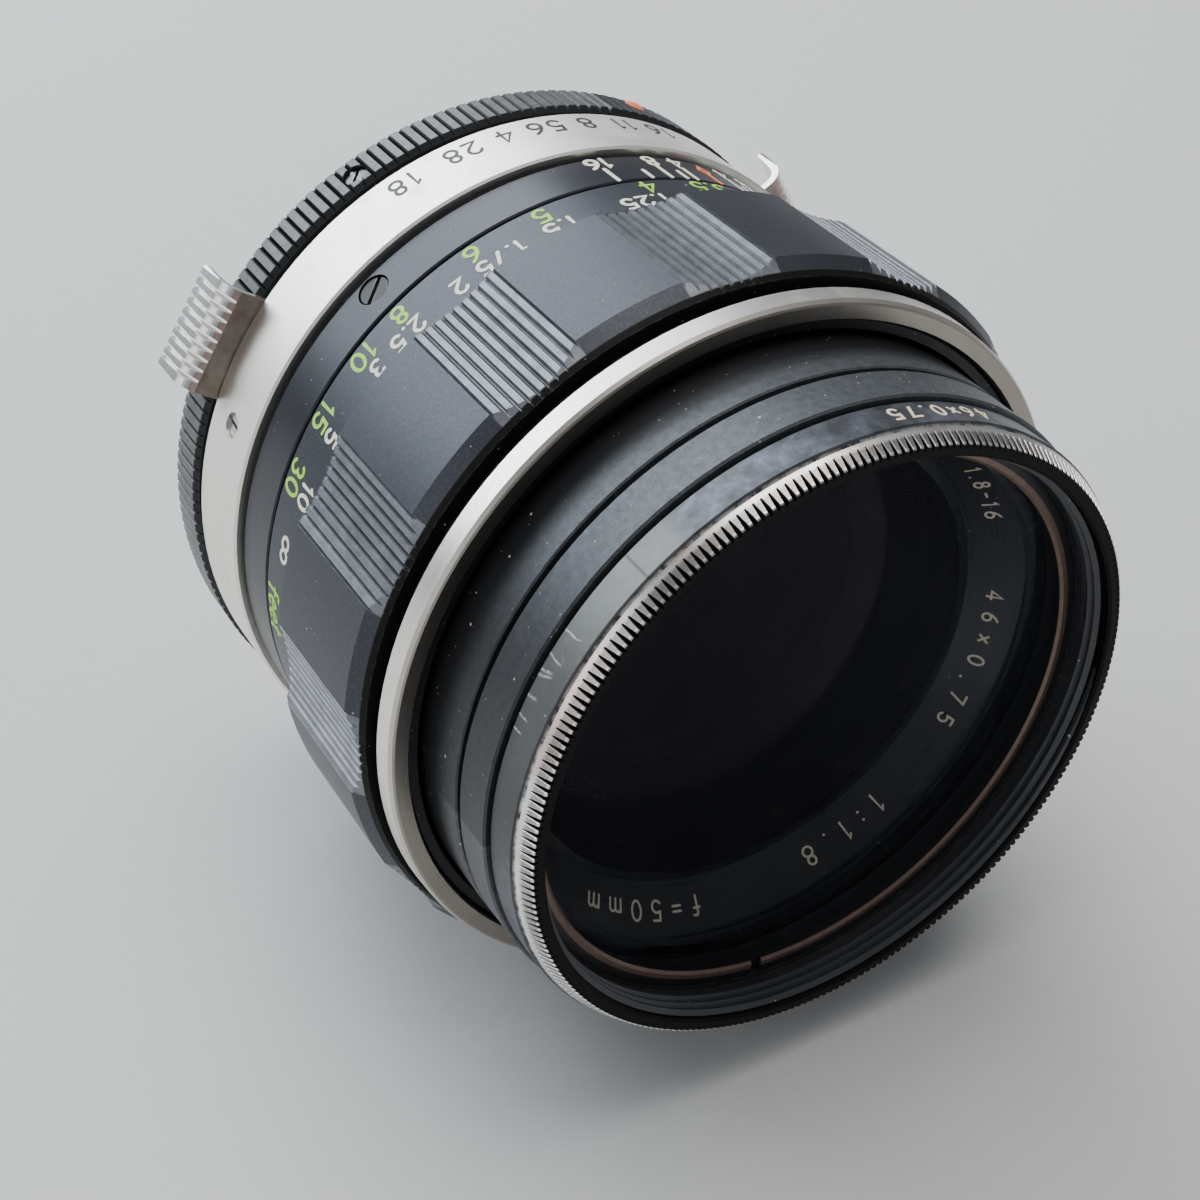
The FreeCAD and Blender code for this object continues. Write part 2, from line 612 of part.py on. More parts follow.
def front_bezel():
    return turn([
        (R_FILTER_BORE, 41.50), (23.95, 41.50), (23.95, H_BARREL_FRONT),
        (24.30, H_BARREL_FRONT), (24.30, H_BEZEL_REAR), (R_BEZEL - 0.12, H_BEZEL_REAR),
        (R_BEZEL, H_BEZEL_REAR + 0.12), (R_BEZEL, H_BEZEL_FRONT - 0.15),
        (R_BEZEL - 0.15, H_BEZEL_FRONT), (R_FILTER_BORE, H_BEZEL_FRONT)])


def name_ring():
    return turn([(18.60, 40.15), (21.40, 40.15), (21.40, 38.80), (22.90, 38.80),
                 (22.90, 43.40), (22.20, 43.40), (19.30, 40.35), (18.60, 40.35)])


def front_cell():
    return turn([
        (15.35, 28.55), (13.20, 28.55), (13.20, 26.0), (16.0, H_IRIS_FRONT),
        (R_CELL, H_IRIS_FRONT), (R_CELL, H_SEAT), (22.90, H_SEAT), (22.90, 38.80),
        (21.35, 38.80), (R_CELL, 39.1), (R_CELL, 40.10), (18.95, 40.10),
        (18.95, 36.25), (15.35, 36.25)])


def front_spacer():
    return tube(14.45, 15.28, 31.95, 36.60, 0.05)


# ---- glass -------------------------------------------------------------------
# The second and third elements share a flat joint, as do the fourth and fifth.
H_FRONT_JOINT, R_FRONT_JOINT = 30.60, 15.30
H_REAR_JOINT, R_REAR_JOINT = 15.40, 12.90


def sag(radius, r):
    return radius - math.sqrt(radius * radius - r * r)


def curved(radius, h_vertex, r_edge, sign):
    """Spherical surface; sign +1 puts its edge behind the vertex, -1 in front of it."""
    middle = r_edge * 0.5
    return Part.Arc(Vector(0, 0, h_vertex),
                    Vector(middle, 0, h_vertex - sign * sag(radius, middle)),
                    Vector(r_edge, 0, h_vertex - sign * sag(radius, r_edge))).toShape()


def flat(h, r):
    return Part.makeLine(Vector(0, 0, h), Vector(r, 0, h))


def glass(front, rim, rear):
    """Element between two surfaces; rim lists (r, h) points from the front edge back."""
    def ends(surface):
        return sorted([v.Point for v in surface.Vertexes], key=lambda point: abs(point.x))
    front_axis, front_edge = ends(front)
    rear_axis, rear_edge = ends(rear)
    corners = [front_edge] + [Vector(r, 0, h) for r, h in rim] + [rear_edge]
    edges = [front]
    edges += [Part.makeLine(start, end) for start, end in zip(corners, corners[1:])]
    edges += [rear, Part.makeLine(rear_axis, front_axis)]
    return full_turn(Part.Face(Part.Wire(Part.__sortEdges__(edges))))


def glass_front():
    return glass(curved(70.0, 42.50, 18.90, 1), [(18.90, 36.27)], curved(140.0, 37.60, 18.90, 1))


def glass_second():
    return glass(curved(24.0, 36.60, R_FRONT_JOINT, 1), [], flat(H_FRONT_JOINT, R_FRONT_JOINT))


def glass_third():
    return glass(flat(H_FRONT_JOINT, R_FRONT_JOINT),
                 [(R_FRONT_JOINT, 28.60), (13.00, 28.60), (12.20, 27.20)],
                 curved(17.0, 29.00, 11.50, 1))


def glass_fourth():
    radius, h_vertex, r_edge = 20.0, 16.60, 11.00
    return glass(curved(radius, h_vertex, r_edge, -1),
                 [(R_REAR_JOINT, h_vertex + sag(radius, r_edge))],
                 flat(H_REAR_JOINT, R_REAR_JOINT))


def glass_fifth():
    return glass(flat(H_REAR_JOINT, R_REAR_JOINT), [], curved(30.0, 10.90, R_REAR_JOINT, -1))


def glass_rear():
    return glass(curved(80.0, 10.30, 13.40, 1), [], curved(45.0, 6.40, 13.40, -1))


# ---- iris --------------------------------------------------------------------
IRIS_BLADES = 6
BLADE_STEP = 360.0 / IRIS_BLADES
R_PIVOT = 18.60
IRIS_TURN = 30.0          # degrees of the drive ring
BLADE_TURN = 31.83        # degrees of each blade
R_BLADE_IN = 11.80
R_BLADE_OUT = 17.10
BLADE_THICKNESS = 0.15
BLADE_PITCH = 0.20        # along the axis, blade to blade
H_FIRST_BLADE = 21.30
DRIVE_ARM = 2.30          # pivot to drive pin
DRIVE_PIN_RADIUS = 0.42
R_IRIS_BORE = 12.60
TONGUE_ANGLE = 8.0        # middle of the drive ring's tongue at rest


def drive_pin_xy(turned):
    """Centre of the first blade's drive pin when the blade has turned this far."""
    a = math.radians(-90.0 - BLADE_TURN / 2 + turned)
    return R_PIVOT + DRIVE_ARM * math.cos(a), DRIVE_ARM * math.sin(a)


def iris_housing():
    r_wall = 20.45
    housing = turn([
        (R_IRIS_BORE, H_IRIS_REAR), (R_CELL, H_IRIS_REAR), (R_CELL, H_IRIS_FRONT),
        (r_wall, H_IRIS_FRONT), (r_wall, H_IRIS_FLOOR), (R_IRIS_BORE, H_IRIS_FLOOR)])
    housing = drill_axial(housing, 0.55, R_PIVOT,
                          [BLADE_STEP * k for k in range(IRIS_BLADES)], 20.0, 21.5)
    return housing.cut(sector(19.80, r_wall, TONGUE_ANGLE - 4.6,
                              TONGUE_ANGLE + IRIS_TURN + 4.6, 20.0, 21.5))


def iris_blade(k):
    """Crescent with a root tab, a pivot pin to the rear and a drive pin to the front."""
    h0 = H_FIRST_BLADE + k * BLADE_PITCH
    h1 = h0 + BLADE_THICKNESS
    x, y = drive_pin_xy(0)
    tab = post(1.0, R_PIVOT, 0, h0, h1)
    tab = tab.fuse(post(0.78, x, y, h0, h1))
    tab = tab.fuse(prism([(R_PIVOT - 0.85, 0.9), (R_PIVOT + 0.75, 0.55),
                          (x + 0.72, y - 0.2), (x - 0.76, y - 0.1)], h0, h1))
    tab = tab.fuse(prism([(16.2, 2.2), (R_PIVOT - 0.2, 0.98),
                          (R_PIVOT - 0.6, -0.9), (16.2, -0.95)], h0, h1))
    blade = sector(R_BLADE_IN, R_BLADE_OUT, -4.0, 142.0, h0, h1).fuse(tab)
    blade = blade.fuse(post(0.50, R_PIVOT, 0, 20.45, h1))
    blade = blade.fuse(post(DRIVE_PIN_RADIUS, x, y, h0, 23.55))
    return spun(blade.removeSplitter(), BLADE_STEP * k)


def drive_slot():
    """Cam slot that follows the first blade's drive pin, one step past each end."""
    steps = 24
    half_width = DRIVE_PIN_RADIUS + 0.07
    path = []
    for i in range(-1, steps + 2):
        share = i / steps
        x, y = drive_pin_xy(BLADE_TURN * share)
        path.append(polar(math.hypot(x, y),
                          math.degrees(math.atan2(y, x)) - IRIS_TURN * share))
    left, right = [], []
    for i, point in enumerate(path):
        along = (path[min(len(path) - 1, i + 1)] - path[max(0, i - 1)]).normalize()
        across = Vector(-along.y * half_width, along.x * half_width, 0)
        left.append(point + across)
        right.append(point - across)
    slot = prism(left + right[::-1], 22.5, 23.9)
    for end in (path[0], path[-1]):
        slot = slot.fuse(post(half_width, end.x, end.y, 22.5, 23.9))
    return slot


def iris_drive_ring():
    r_out = 20.38
    slot = drive_slot()
    ring = cut_each(tube(17.30, r_out, 22.80, 23.60),
                    [spun(slot, BLADE_STEP * k) for k in range(IRIS_BLADES)])
    # long tongue that reaches rearwards
    ring = ring.fuse(sector(r_out - 0.5, r_out, TONGUE_ANGLE - 3.4, TONGUE_ANGLE + 3.4,
                            12.2, 23.0))
    return ring.removeSplitter()


def iris_cover():
    return tube(R_IRIS_BORE, 20.40, 23.66, H_IRIS_FRONT)


# ---- rear optical group ------------------------------------------------------


def rear_cell():
    return turn([
        (16.20, H_TUBE_REAR), (16.50, 7.3), (16.50, 12.0), (19.40, 12.0), (19.70, 12.3),
        (19.70, H_IRIS_REAR), (11.60, H_IRIS_REAR), (11.60, 19.95), (12.95, 19.95),
        (12.95, 9.60), (13.45, 9.60), (13.45, H_TUBE_REAR)])


def rear_spacer():
    return tube(12.05, R_REAR_JOINT, 9.45, 13.33, 0.05)


def rear_retainer():
    return turn([(12.40, 7.15), (12.60, 7.0), (13.40, 7.0), (13.40, 8.10), (12.40, 8.10)])


# ---- stop-down pin and its leaf spring ---------------------------------------
H_PIN_TAPER = -2.6
H_LEAF_FRONT = 3.55


def stop_down_pin():
    pin = axial_rod(1.0, R_PIN, PIN_ANGLE, H_PIN_TAPER, H_FOOT_FRONT)
    return pin.fuse(Part.makeCone(1.0, 0.62, 0.45, polar(R_PIN, PIN_ANGLE, H_PIN_TAPER),
                                  Vector(0, 0, -1)))


def pin_leaf_spring():
    """Leaf lying on the foot of the fixed barrel, its tip resting on the pin's end."""
    leaf = sector(21.65, 23.0, 249, 290, H_FOOT_FRONT, H_LEAF_FRONT)
    leaf = leaf.fuse(axial_rod(0.95, R_PIN, PIN_ANGLE, H_FOOT_FRONT, H_LEAF_FRONT))
    neck = [polar(22.6, 249.3), polar(21.8, 255.5), polar(19.4, 247.6), polar(20.4, 243.1)]
    leaf = leaf.fuse(prism(neck, H_FOOT_FRONT, H_LEAF_FRONT)).removeSplitter()
    return drill_axial(leaf, LEAF_SHANK, R_LEAF_SCREW, LEAF_SCREW_ANGLES, 3.0, 4.0)


def leaf_spring_screws():
    screws = []
    for a in LEAF_SCREW_ANGLES:
        screw = axial_rod(LEAF_SHANK, R_LEAF_SCREW, a, H_LEAF_SCREW_END, 3.60)
        screw = screw.fuse(axial_rod(0.60, R_LEAF_SCREW, a, H_LEAF_FRONT, 3.85))
        screws.append(screw.cut(block(21.5, 1.6, 0.2, 3.70, 0.5, a)).removeSplitter())
    return Part.makeCompound(screws)


# ---- filter ------------------------------------------------------------------
RIM_TEETH = 260
H_GLASS_REAR = 45.50
H_GLASS_FRONT = 47.45


def rim_notch(angle, step):
    """V notch along the sloping chrome band."""
    sections = []
    for h, r in ((H_RIM_REAR + 0.27, R_BAND - 0.31), (H_RIM_FRONT + 0.05, R_RIM - 0.46)):
        root = polar(r, angle, h)
        sections.append(Part.makePolygon([root, polar(r + 1.0, angle + 0.74 * step, h),
                                          polar(r + 1.0, angle - 0.74 * step, h), root]))
    return Part.makeLoft(sections, True, True)


def filter_ring():
    ring = turn([
        (21.25, 44.60), (22.80, 44.60), (22.97, 44.77), (22.97, H_FILTER_REAR),
        (R_FILTER - 0.12, H_FILTER_REAR), (R_FILTER, H_FILTER_REAR + 0.12),
        (R_FILTER, 50.02), (R_BAND - 0.10, H_RIM_REAR - 0.10), (R_BAND, H_RIM_REAR),
        (R_RIM + 0.06, H_RIM_FRONT - 0.06), (R_RIM - 0.05, H_RIM_FRONT),
        (R_RIM - 0.75, H_RIM_FRONT), (R_FILTER_BORE, H_RIM_FRONT - 0.18),
        (R_FILTER_BORE, 48.35), (22.70, 48.35), (22.70, H_GLASS_FRONT),
        (22.50, H_GLASS_FRONT), (22.50, H_GLASS_REAR), (21.25, H_GLASS_REAR)])
    step = 360.0 / RIM_TEETH
    return ring.cut(Part.makeCompound([rim_notch(k * step, step) for k in range(RIM_TEETH)]))


def filter_glass():
    return turn([(0, H_GLASS_REAR), (22.25, H_GLASS_REAR), (22.40, 45.65), (22.40, 47.30),
                 (22.25, H_GLASS_FRONT), (0, H_GLASS_FRONT)])


def filter_retainer():
    ring = turn([(21.45, H_GLASS_FRONT), (22.65, H_GLASS_FRONT), (22.65, 48.30),
                 (21.65, 48.30), (21.45, 48.10)])
    return cut_each(ring, [block(21.2, 2.4, 0.9, 47.90, 0.55, a) for a in (80, 260)])


# ---- one STEP file per piece, named after its function -----------------------
PIECES = (
    rear_mount, mount_screws, fixed_barrel, focus_retaining_ring, retaining_ring_screws,
    guide_keys, detent_ball, detent_spring, knurled_rear_ring, rear_ring_screws,
    depth_scale_ring, depth_ring_screws, aperture_ring, aperture_tabs, tab_screws,
    aperture_set_screws, aperture_cam_ring, cam_link_screw, focus_ring, silver_trim_ring,
    dust_ring, helicoid_nut, helicoid_screws, focus_stop_screw, focus_stop_pins,
    helicoid_tube, front_barrel, barrel_screws, front_bezel, name_ring, front_cell,
    glass_front, glass_second, glass_third, front_spacer, iris_housing, iris_drive_ring,
    iris_cover, rear_cell, glass_fourth, glass_fifth, rear_spacer, glass_rear,
    rear_retainer, stop_down_pin, pin_leaf_spring, leaf_spring_screws, filter_ring,
    filter_glass, filter_retainer)


def export(name, shape):
    turned = shape.copy()
    turned.rotate(Vector(0, 0, 0), Vector(1, 0, 0), 90)
    solids = turned.Solids
    assert solids and all(solid.isValid() for solid in solids), name
    result = solids[0] if len(solids) == 1 else Part.makeCompound(solids)
    result.exportStep("parts/%s.step" % name)


os.makedirs("parts", exist_ok=True)
for piece in PIECES:
    export(piece.__name__, piece())
for k in range(IRIS_BLADES):
    export("iris_blade_%d" % (k + 1), iris_blade(k))
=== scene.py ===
# A 50 mm f/1.8 camera lens lying on a pale floor, its axis along Y and its front facing -Y.
# The rear flange is at Y = 0.  Lens sizes are in millimetres and angles in degrees: h is the
# distance in front of the flange, r the distance from the axis, and angles are seen from the
# front, counter-clockwise from +X.
import json
import math
from functools import cached_property

import bpy
import numpy as np
from mathutils import Matrix, Vector


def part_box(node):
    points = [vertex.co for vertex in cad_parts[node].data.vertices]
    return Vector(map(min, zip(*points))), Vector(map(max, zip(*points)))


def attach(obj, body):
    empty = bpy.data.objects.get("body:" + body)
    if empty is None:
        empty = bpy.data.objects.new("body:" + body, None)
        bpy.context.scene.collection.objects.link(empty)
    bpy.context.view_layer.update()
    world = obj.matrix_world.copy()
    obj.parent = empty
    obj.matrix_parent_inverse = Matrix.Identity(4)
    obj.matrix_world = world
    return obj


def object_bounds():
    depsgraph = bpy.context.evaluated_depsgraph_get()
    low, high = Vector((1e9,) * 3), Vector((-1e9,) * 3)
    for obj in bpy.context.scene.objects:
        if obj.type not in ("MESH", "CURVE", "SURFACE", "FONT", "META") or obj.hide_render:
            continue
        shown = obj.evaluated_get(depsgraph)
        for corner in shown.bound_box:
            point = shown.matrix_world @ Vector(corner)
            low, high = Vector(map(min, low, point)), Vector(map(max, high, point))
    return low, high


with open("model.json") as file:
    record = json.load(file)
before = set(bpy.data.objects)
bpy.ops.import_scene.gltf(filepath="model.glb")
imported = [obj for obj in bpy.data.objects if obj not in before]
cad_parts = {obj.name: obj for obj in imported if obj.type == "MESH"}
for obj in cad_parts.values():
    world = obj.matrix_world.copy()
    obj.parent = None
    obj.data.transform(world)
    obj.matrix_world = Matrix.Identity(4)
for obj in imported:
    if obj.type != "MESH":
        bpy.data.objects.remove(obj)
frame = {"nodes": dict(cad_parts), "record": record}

MM = 0.001
cad_lo, cad_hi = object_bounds()


def at(r, angle, h):
    """A place on the lens, in metres."""
    turn = math.radians(angle)
    return Vector((r * math.cos(turn) * MM, -h * MM, r * math.sin(turn) * MM))


def ring_of(node):
    """Largest r, rear h and front h of a turned node."""
    lo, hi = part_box(node)
    return max(hi.x, hi.z, -lo.x, -lo.z) / MM, -hi.y / MM, -lo.y / MM


APERTURE_R = ring_of("aperture_ring")[0]
DEPTH_R, DEPTH_REAR, DEPTH_FRONT = ring_of("depth_scale_ring")
GRIP_R, _, GRIP_FRONT = ring_of("focus_ring")
KNURL_R = ring_of("knurled_rear_ring")[0]
FILTER_R = ring_of("filter_ring")[0]
SKIRT_R = 27.5                      # plain skirt behind the grip
GRIP_BEVEL_H = GRIP_FRONT - 1.41    # where the front bevel of the grip starts
INDEX_ANGLE = 65.1                  # index of both scales
BORE_R = next(mount for mount in frame["record"]["mounts"]
              if mount["name"] == "front_filter_thread")["dims"]["r_mm"]


# ---------------------------------------------------------------------------
# shader graphs
# ---------------------------------------------------------------------------
def operator(operation, swapped=False):
    """A Signal method that adds one Math node."""
    def method(self, *others):
        return self.graph.math(operation, *((*others, self) if swapped else (self, *others)))
    return method


class Signal:
    """An output of a shader node; arithmetic on it adds Math nodes."""
    __add__ = operator("ADD")
    __sub__ = operator("SUBTRACT")
    __rsub__ = operator("SUBTRACT", swapped=True)
    __mul__ = operator("MULTIPLY")
    __mod__ = operator("MODULO")
    __pow__ = operator("POWER")
    __abs__ = operator("ABSOLUTE")
    __lt__ = operator("LESS_THAN")
    __gt__ = operator("GREATER_THAN")
    maximum = operator("MAXIMUM")
    sqrt = operator("SQRT")

    def __init__(self, graph, socket):
        self.graph = graph
        self.socket = socket

    def output(self, key):
        """Another output of the same node."""
        return Signal(self.graph, self.socket.node.outputs[key])

    def clamped(self):
        """Limit the Math node behind this signal to 0..1."""
        self.socket.node.use_clamp = True
        return self

    def scaled(self, times, plus):
        return self.graph.math("MULTIPLY_ADD", self, times, plus)

    def vary(self, around, by):
        """Turn 0..1 into a band as wide as `by`, centred on `around`."""
        return self.scaled(times=by, plus=around - by / 2)

    def ramp(self, start, end, low, high):
        return self.graph.node("ShaderNodeMapRange", {
            "Value": self, "From Min": start, "From Max": end, "To Min": low, "To Max": high})

    def rise(self, start, end, low=0.0):
        """Go from low to 1 as the signal goes from start to end."""
        return self.ramp(start, end, low, 1.0)

    def fall(self, start, end):
        """Go from 1 to 0 as the signal goes from start to end."""
        return self.ramp(start, end, 1.0, 0.0)


class Graph:
    """A material under construction, with the lens coordinates x, h, z, radius and angle."""
    SHORT = {"base": "Base Color", "metal": "Metallic", "rough": "Roughness",
             "normal": "Normal", "aniso": "Anisotropic", "spec": "Specular IOR Level",
             "tangent": "Tangent"}

    def __init__(self, name):
        self.material = bpy.data.materials.new(name)
        self.material.use_nodes = True
        self.tree = self.material.node_tree
        self.tree.nodes.clear()
        self.end = self.tree.nodes.new("ShaderNodeOutputMaterial")
        place = self.node("ShaderNodeTexCoord").output("Object")
        parts = self.node("ShaderNodeSeparateXYZ", {0: place})
        self.x = parts * 1000
        self.h = parts.output(1) * -1000
        self.z = parts.output(2) * 1000

    @cached_property
    def radius(self):
        return (self.x * self.x + self.z * self.z).sqrt()

    @cached_property
    def angle(self):
        """Angle round the lens, -180 to 180."""
        return self.math("ARCTAN2", self.z, self.x) * (180 / math.pi)

    def put(self, socket, value):
        if isinstance(value, Signal):
            self.tree.links.new(value.socket, socket)
        elif socket.type == "RGBA":
            socket.default_value = (*value, 1.0)
        else:
            socket.default_value = value

    def node(self, kind, inputs=None, **properties):
        """Add a node and return its first output."""
        node = self.tree.nodes.new(kind)
        for key, value in properties.items():
            setattr(node, key, value)
        for key, value in (inputs or {}).items():
            self.put(node.inputs[key], value)
        return Signal(self, node.outputs[0])

    def math(self, operation, *values):
        return self.node("ShaderNodeMath", dict(enumerate(values)), operation=operation)

    def mix(self, factor, under, over):
        """Colour that goes from under to over as factor goes from 0 to 1."""
        return self.node("ShaderNodeMix", {0: factor, 6: under, 7: over},
                         data_type="RGBA").output(2)

    def lerp(self, factor, start, end):
        return self.node("ShaderNodeMix", {0: factor, 2: start, 3: end}, data_type="FLOAT")

    def vector(self, x, y, z):
        return self.node("ShaderNodeCombineXYZ", {0: x, 1: y, 2: z})

    def noise(self, scale, detail=3.0, rough=0.6, vector=None):
        """Noise with `scale` features per millimetre."""
        return self.node("ShaderNodeTexNoise", {
            "Scale": scale, "Detail": detail, "Roughness": rough,
            "Vector": vector or self.vector(self.x, self.h, self.z)}).output("Fac")

    def patches(self, scale):
        """Noise with ragged edges, for wear and haze."""
        return self.noise(scale, detail=4.0, rough=0.7)

    def grain(self, pitch, around=0.02, shift=0.0):
        """Turning lines: fast along the axis and radius, slow round the lens."""
        across = (self.h + self.radius * 0.73) * (1.0 / pitch)
        place = self.vector(self.x.scaled(times=around, plus=shift), across, self.z * around)
        return self.noise(1.0, detail=2.0, vector=place)

    def normal_y(self):
        normal = self.node("ShaderNodeNewGeometry").output("Normal")
        return self.node("ShaderNodeSeparateXYZ", {0: normal}).output(1)

    def edges(self, radius):
        """Mask of edges: where a rounded normal leaves the true one."""
        rounded = self.node("ShaderNodeBevel", {"Radius": radius * MM}, samples=4)
        true = self.node("ShaderNodeNewGeometry").output("Normal")
        match = self.node("ShaderNodeVectorMath", {0: rounded, 1: true},
                          operation="DOT_PRODUCT").output("Value")
        return (1.0 - match).rise(0.02, 0.25)

    def dust(self, cell, size, shift, amount):
        """Mask of sparse specks up to `size` in radius, at most one per cell."""
        cells = self.node("ShaderNodeTexVoronoi", {
            "Scale": 1.0 / cell, "Randomness": 1.0,
            "Vector": self.vector(self.x + shift, self.h, self.z)})
        chance = self.node("ShaderNodeSeparateColor", {0: cells.output("Color")})
        inside = cells.output("Distance") < chance ** 3.0 * (size / cell)
        return inside * (chance.output(1) < amount)

    def scratches(self, seed, slope, density, length=0.25, across=3.15):
        """Mask of sparse hairlines; length and across are noise scales along and across them."""
        cos, sin = math.cos(math.radians(slope)), math.sin(math.radians(slope))
        arc = self.math("ARCTAN2", self.z, self.x) * 25.0
        along = arc * cos + self.h * sin
        aside = self.h * cos - arc * sin
        ridge = self.noise(1.0, detail=1.0, rough=0.4,
                           vector=self.vector(along * length, aside * across, seed))
        gate = self.noise(0.35, detail=2.0, rough=0.5,
                          vector=self.vector(along, aside, seed + 7.0))
        return abs(ridge - 0.5).fall(0.0, 0.006) * gate.rise(density, density + 0.06)

    def bump(self, height, distance, strength, normal=None):
        inputs = {"Height": height, "Distance": distance * MM, "Strength": strength}
        if normal:
            inputs["Normal"] = normal
        return self.node("ShaderNodeBump", inputs)

    def tangent(self):
        return self.node("ShaderNodeTangent", direction_type="RADIAL", axis="Y")

    def principled(self, **inputs):
        return self.node("ShaderNodeBsdfPrincipled",
                         {self.SHORT[key]: value for key, value in inputs.items()})

    def finish(self, shader):
        self.put(self.end.inputs["Surface"], shader)
        return self.material


def tinted(colour, factor):
    return tuple(min(1.0, part * factor) for part in colour)


# ---------------------------------------------------------------------------
# materials; the numbers in rise() and fall() are either noise levels, h, r or angle
# ---------------------------------------------------------------------------
def black_metal(name, base, rough, metal=0.55, grain_pitch=0.10, grain_amount=0.35,
                wear=0.35, dust=0.4, seed=0.0, edge_radius=0.10):
    """Turned black metal with worn edges and dust."""
    graph = Graph(name)
    broad = graph.noise(0.16)
    fine = graph.noise(9.0, rough=0.7)
    grain = graph.grain(grain_pitch)
    worn = (graph.edges(edge_radius) * graph.patches(1.1).rise(0.42, 0.62)).clamped()
    dots = graph.dust(cell=1.1, size=0.10, shift=seed, amount=dust).maximum(
        graph.dust(cell=0.45, size=0.055, shift=seed + 31.7, amount=dust))
    colour = graph.mix(broad, tinted(base, 0.72), tinted(base, 1.25))
    # pale turning lines, bare edges, dust
    colour = graph.mix(grain * (grain_amount * 0.5), colour,
                       tuple(part * 1.9 + 0.01 for part in base))
    colour = graph.mix(worn * wear, colour, (0.42, 0.41, 0.40))
    colour = graph.mix(dots * 0.75, colour, (0.62, 0.62, 0.60))
    # roughness follows the turning lines; dust is matt
    roughness = (grain - 0.5) * (grain_amount * 0.35) + broad.vary(around=rough, by=0.14)
    roughness = roughness.maximum(dots * 0.9).clamped()
    normal = graph.bump(fine, distance=0.006, strength=0.6)
    normal = graph.bump(grain, distance=0.004 * grain_amount, strength=0.6, normal=normal)
    return graph.finish(graph.principled(
        base=colour, metal=metal - dots * metal, rough=roughness, normal=normal, spec=0.55))


def bright_metal(name, base, rough, pitch, front=None, grime=0.25, seed=0.0):
    """Turned bright metal; `front` is the colour of a painted reflection on faces turned to the
    front.
    """
    graph = Graph(name)
    grain = graph.grain(pitch)
    bands = graph.grain(pitch * 4.3, around=0.05, shift=5.0)
    broad = graph.noise(0.12)
    stain = graph.noise(0.33, detail=4.0, rough=0.65).rise(0.52, 0.78)
    dots = graph.dust(cell=1.2, size=0.07, shift=seed, amount=0.45)
    colour = graph.mix(bands, tinted(base, 0.90), tinted(base, 1.05))
    # warm stains, pale edges
    warm = tuple(part * share for part, share in zip(base, (0.80, 0.72, 0.60)))
    colour = graph.mix(stain * grime, colour, warm)
    colour = graph.mix(graph.edges(0.14) * 0.35, colour, (0.93, 0.92, 0.90))
    if front:
        # painted reflection: darker front face with a coppery slope round it
        normal_y = graph.normal_y()
        face = (normal_y * -1.0).rise(0.50, 0.72)
        slope = broad.rise(0.42, 0.58) * ((normal_y * -1.0).rise(0.30, 0.50) - face)
        colour = graph.mix(slope * 0.6, colour, (0.72, 0.50, 0.38))
        colour = graph.mix(face, colour,
                           graph.mix(broad, tinted(front, 0.8), tinted(front, 1.2)))
    hairlines = graph.scratches(seed + 3.0, slope=24.0, density=0.60).maximum(
        graph.scratches(seed + 9.0, slope=-61.0, density=0.62, length=0.3))
    roughness = grain.vary(around=rough, by=0.16) + broad * 0.08
    roughness = (roughness + stain * 0.10).clamped()
    normal = graph.bump(grain, distance=0.003, strength=0.6)
    normal = graph.bump(hairlines, distance=-0.006, strength=0.6, normal=normal)
    return graph.finish(graph.principled(
        base=colour, metal=1.0 - dots * 0.8, rough=roughness, normal=normal,
        aniso=0.55, tangent=graph.tangent()))


def paint(name, base, rough=0.5, wear=0.3, under=(0.03, 0.03, 0.03)):
    """Paint that chips to show the colour under it."""
    graph = Graph(name)
    patches = graph.patches(3.5)
    fine = graph.noise(14.0, detail=2.0)
    colour = graph.mix(fine, tinted(base, 0.86), tinted(base, 1.08))
    colour = graph.mix(patches.rise(0.60, 0.72) * wear, colour, under)
    return graph.finish(graph.principled(
        base=colour, rough=patches.vary(around=rough, by=0.2),
        normal=graph.bump(fine, distance=0.006, strength=0.5), spec=0.4))


def lens_glass(name, tint, coat, strength, seed):
    """Thin coated glass: clear, with a weak coloured reflection, smears and faint dust."""
    graph = Graph(name)
    fresnel = graph.node("ShaderNodeFresnel", {"IOR": 1.5})
    smear = graph.noise(0.25, detail=4.0)
    dots = graph.dust(cell=2.6, size=0.07, shift=seed, amount=0.35)
    gloss = graph.node("ShaderNodeBsdfGlossy", {
        "Color": coat, "Roughness": smear.scaled(times=0.05, plus=0.01)})
    clear = graph.node("ShaderNodeBsdfTransparent", {"Color": tint})
    matt = graph.node("ShaderNodeBsdfDiffuse", {"Color": (0.5, 0.5, 0.48)})
    outward = 1.0 - graph.node("ShaderNodeNewGeometry").output("Backfacing")
    reflect = fresnel * outward * smear.scaled(times=strength * 0.5, plus=strength * 0.75)
    glass = graph.node("ShaderNodeMixShader", {0: reflect.clamped(), 1: clear, 2: gloss})
    return graph.finish(graph.node("ShaderNodeMixShader", {0: dots * 0.35, 1: glass, 2: matt}))


# long curved scuffs on the side of the filter ring:
# centre along the arc, centre h, radius, first angle, last angle, line width
SCUFFS = (
    (-5.0, 46.6, 5.6, -18, 22, 0.055),
    (-4.1, 46.2, 5.2, -8, 30, 0.05),
    (-6.6, 48.4, 6.1, -24, 6, 0.045),
    (-3.0, 47.0, 5.4, -14, 16, 0.06),
    (-2.0, 47.6, 5.8, -16, 10, 0.04),
    (-7.6, 47.6, 5.3, -12, 18, 0.04),
    (0.2, 47.5, 4.6, -22, 12, 0.035),
)
SCUFF_ANGLE = 146.0     # where the arc length is 0
SCUFF_ARC = 0.424       # arc length of one degree
SCUFF_FADE = 5          # degrees over which a scuff fades at its ends


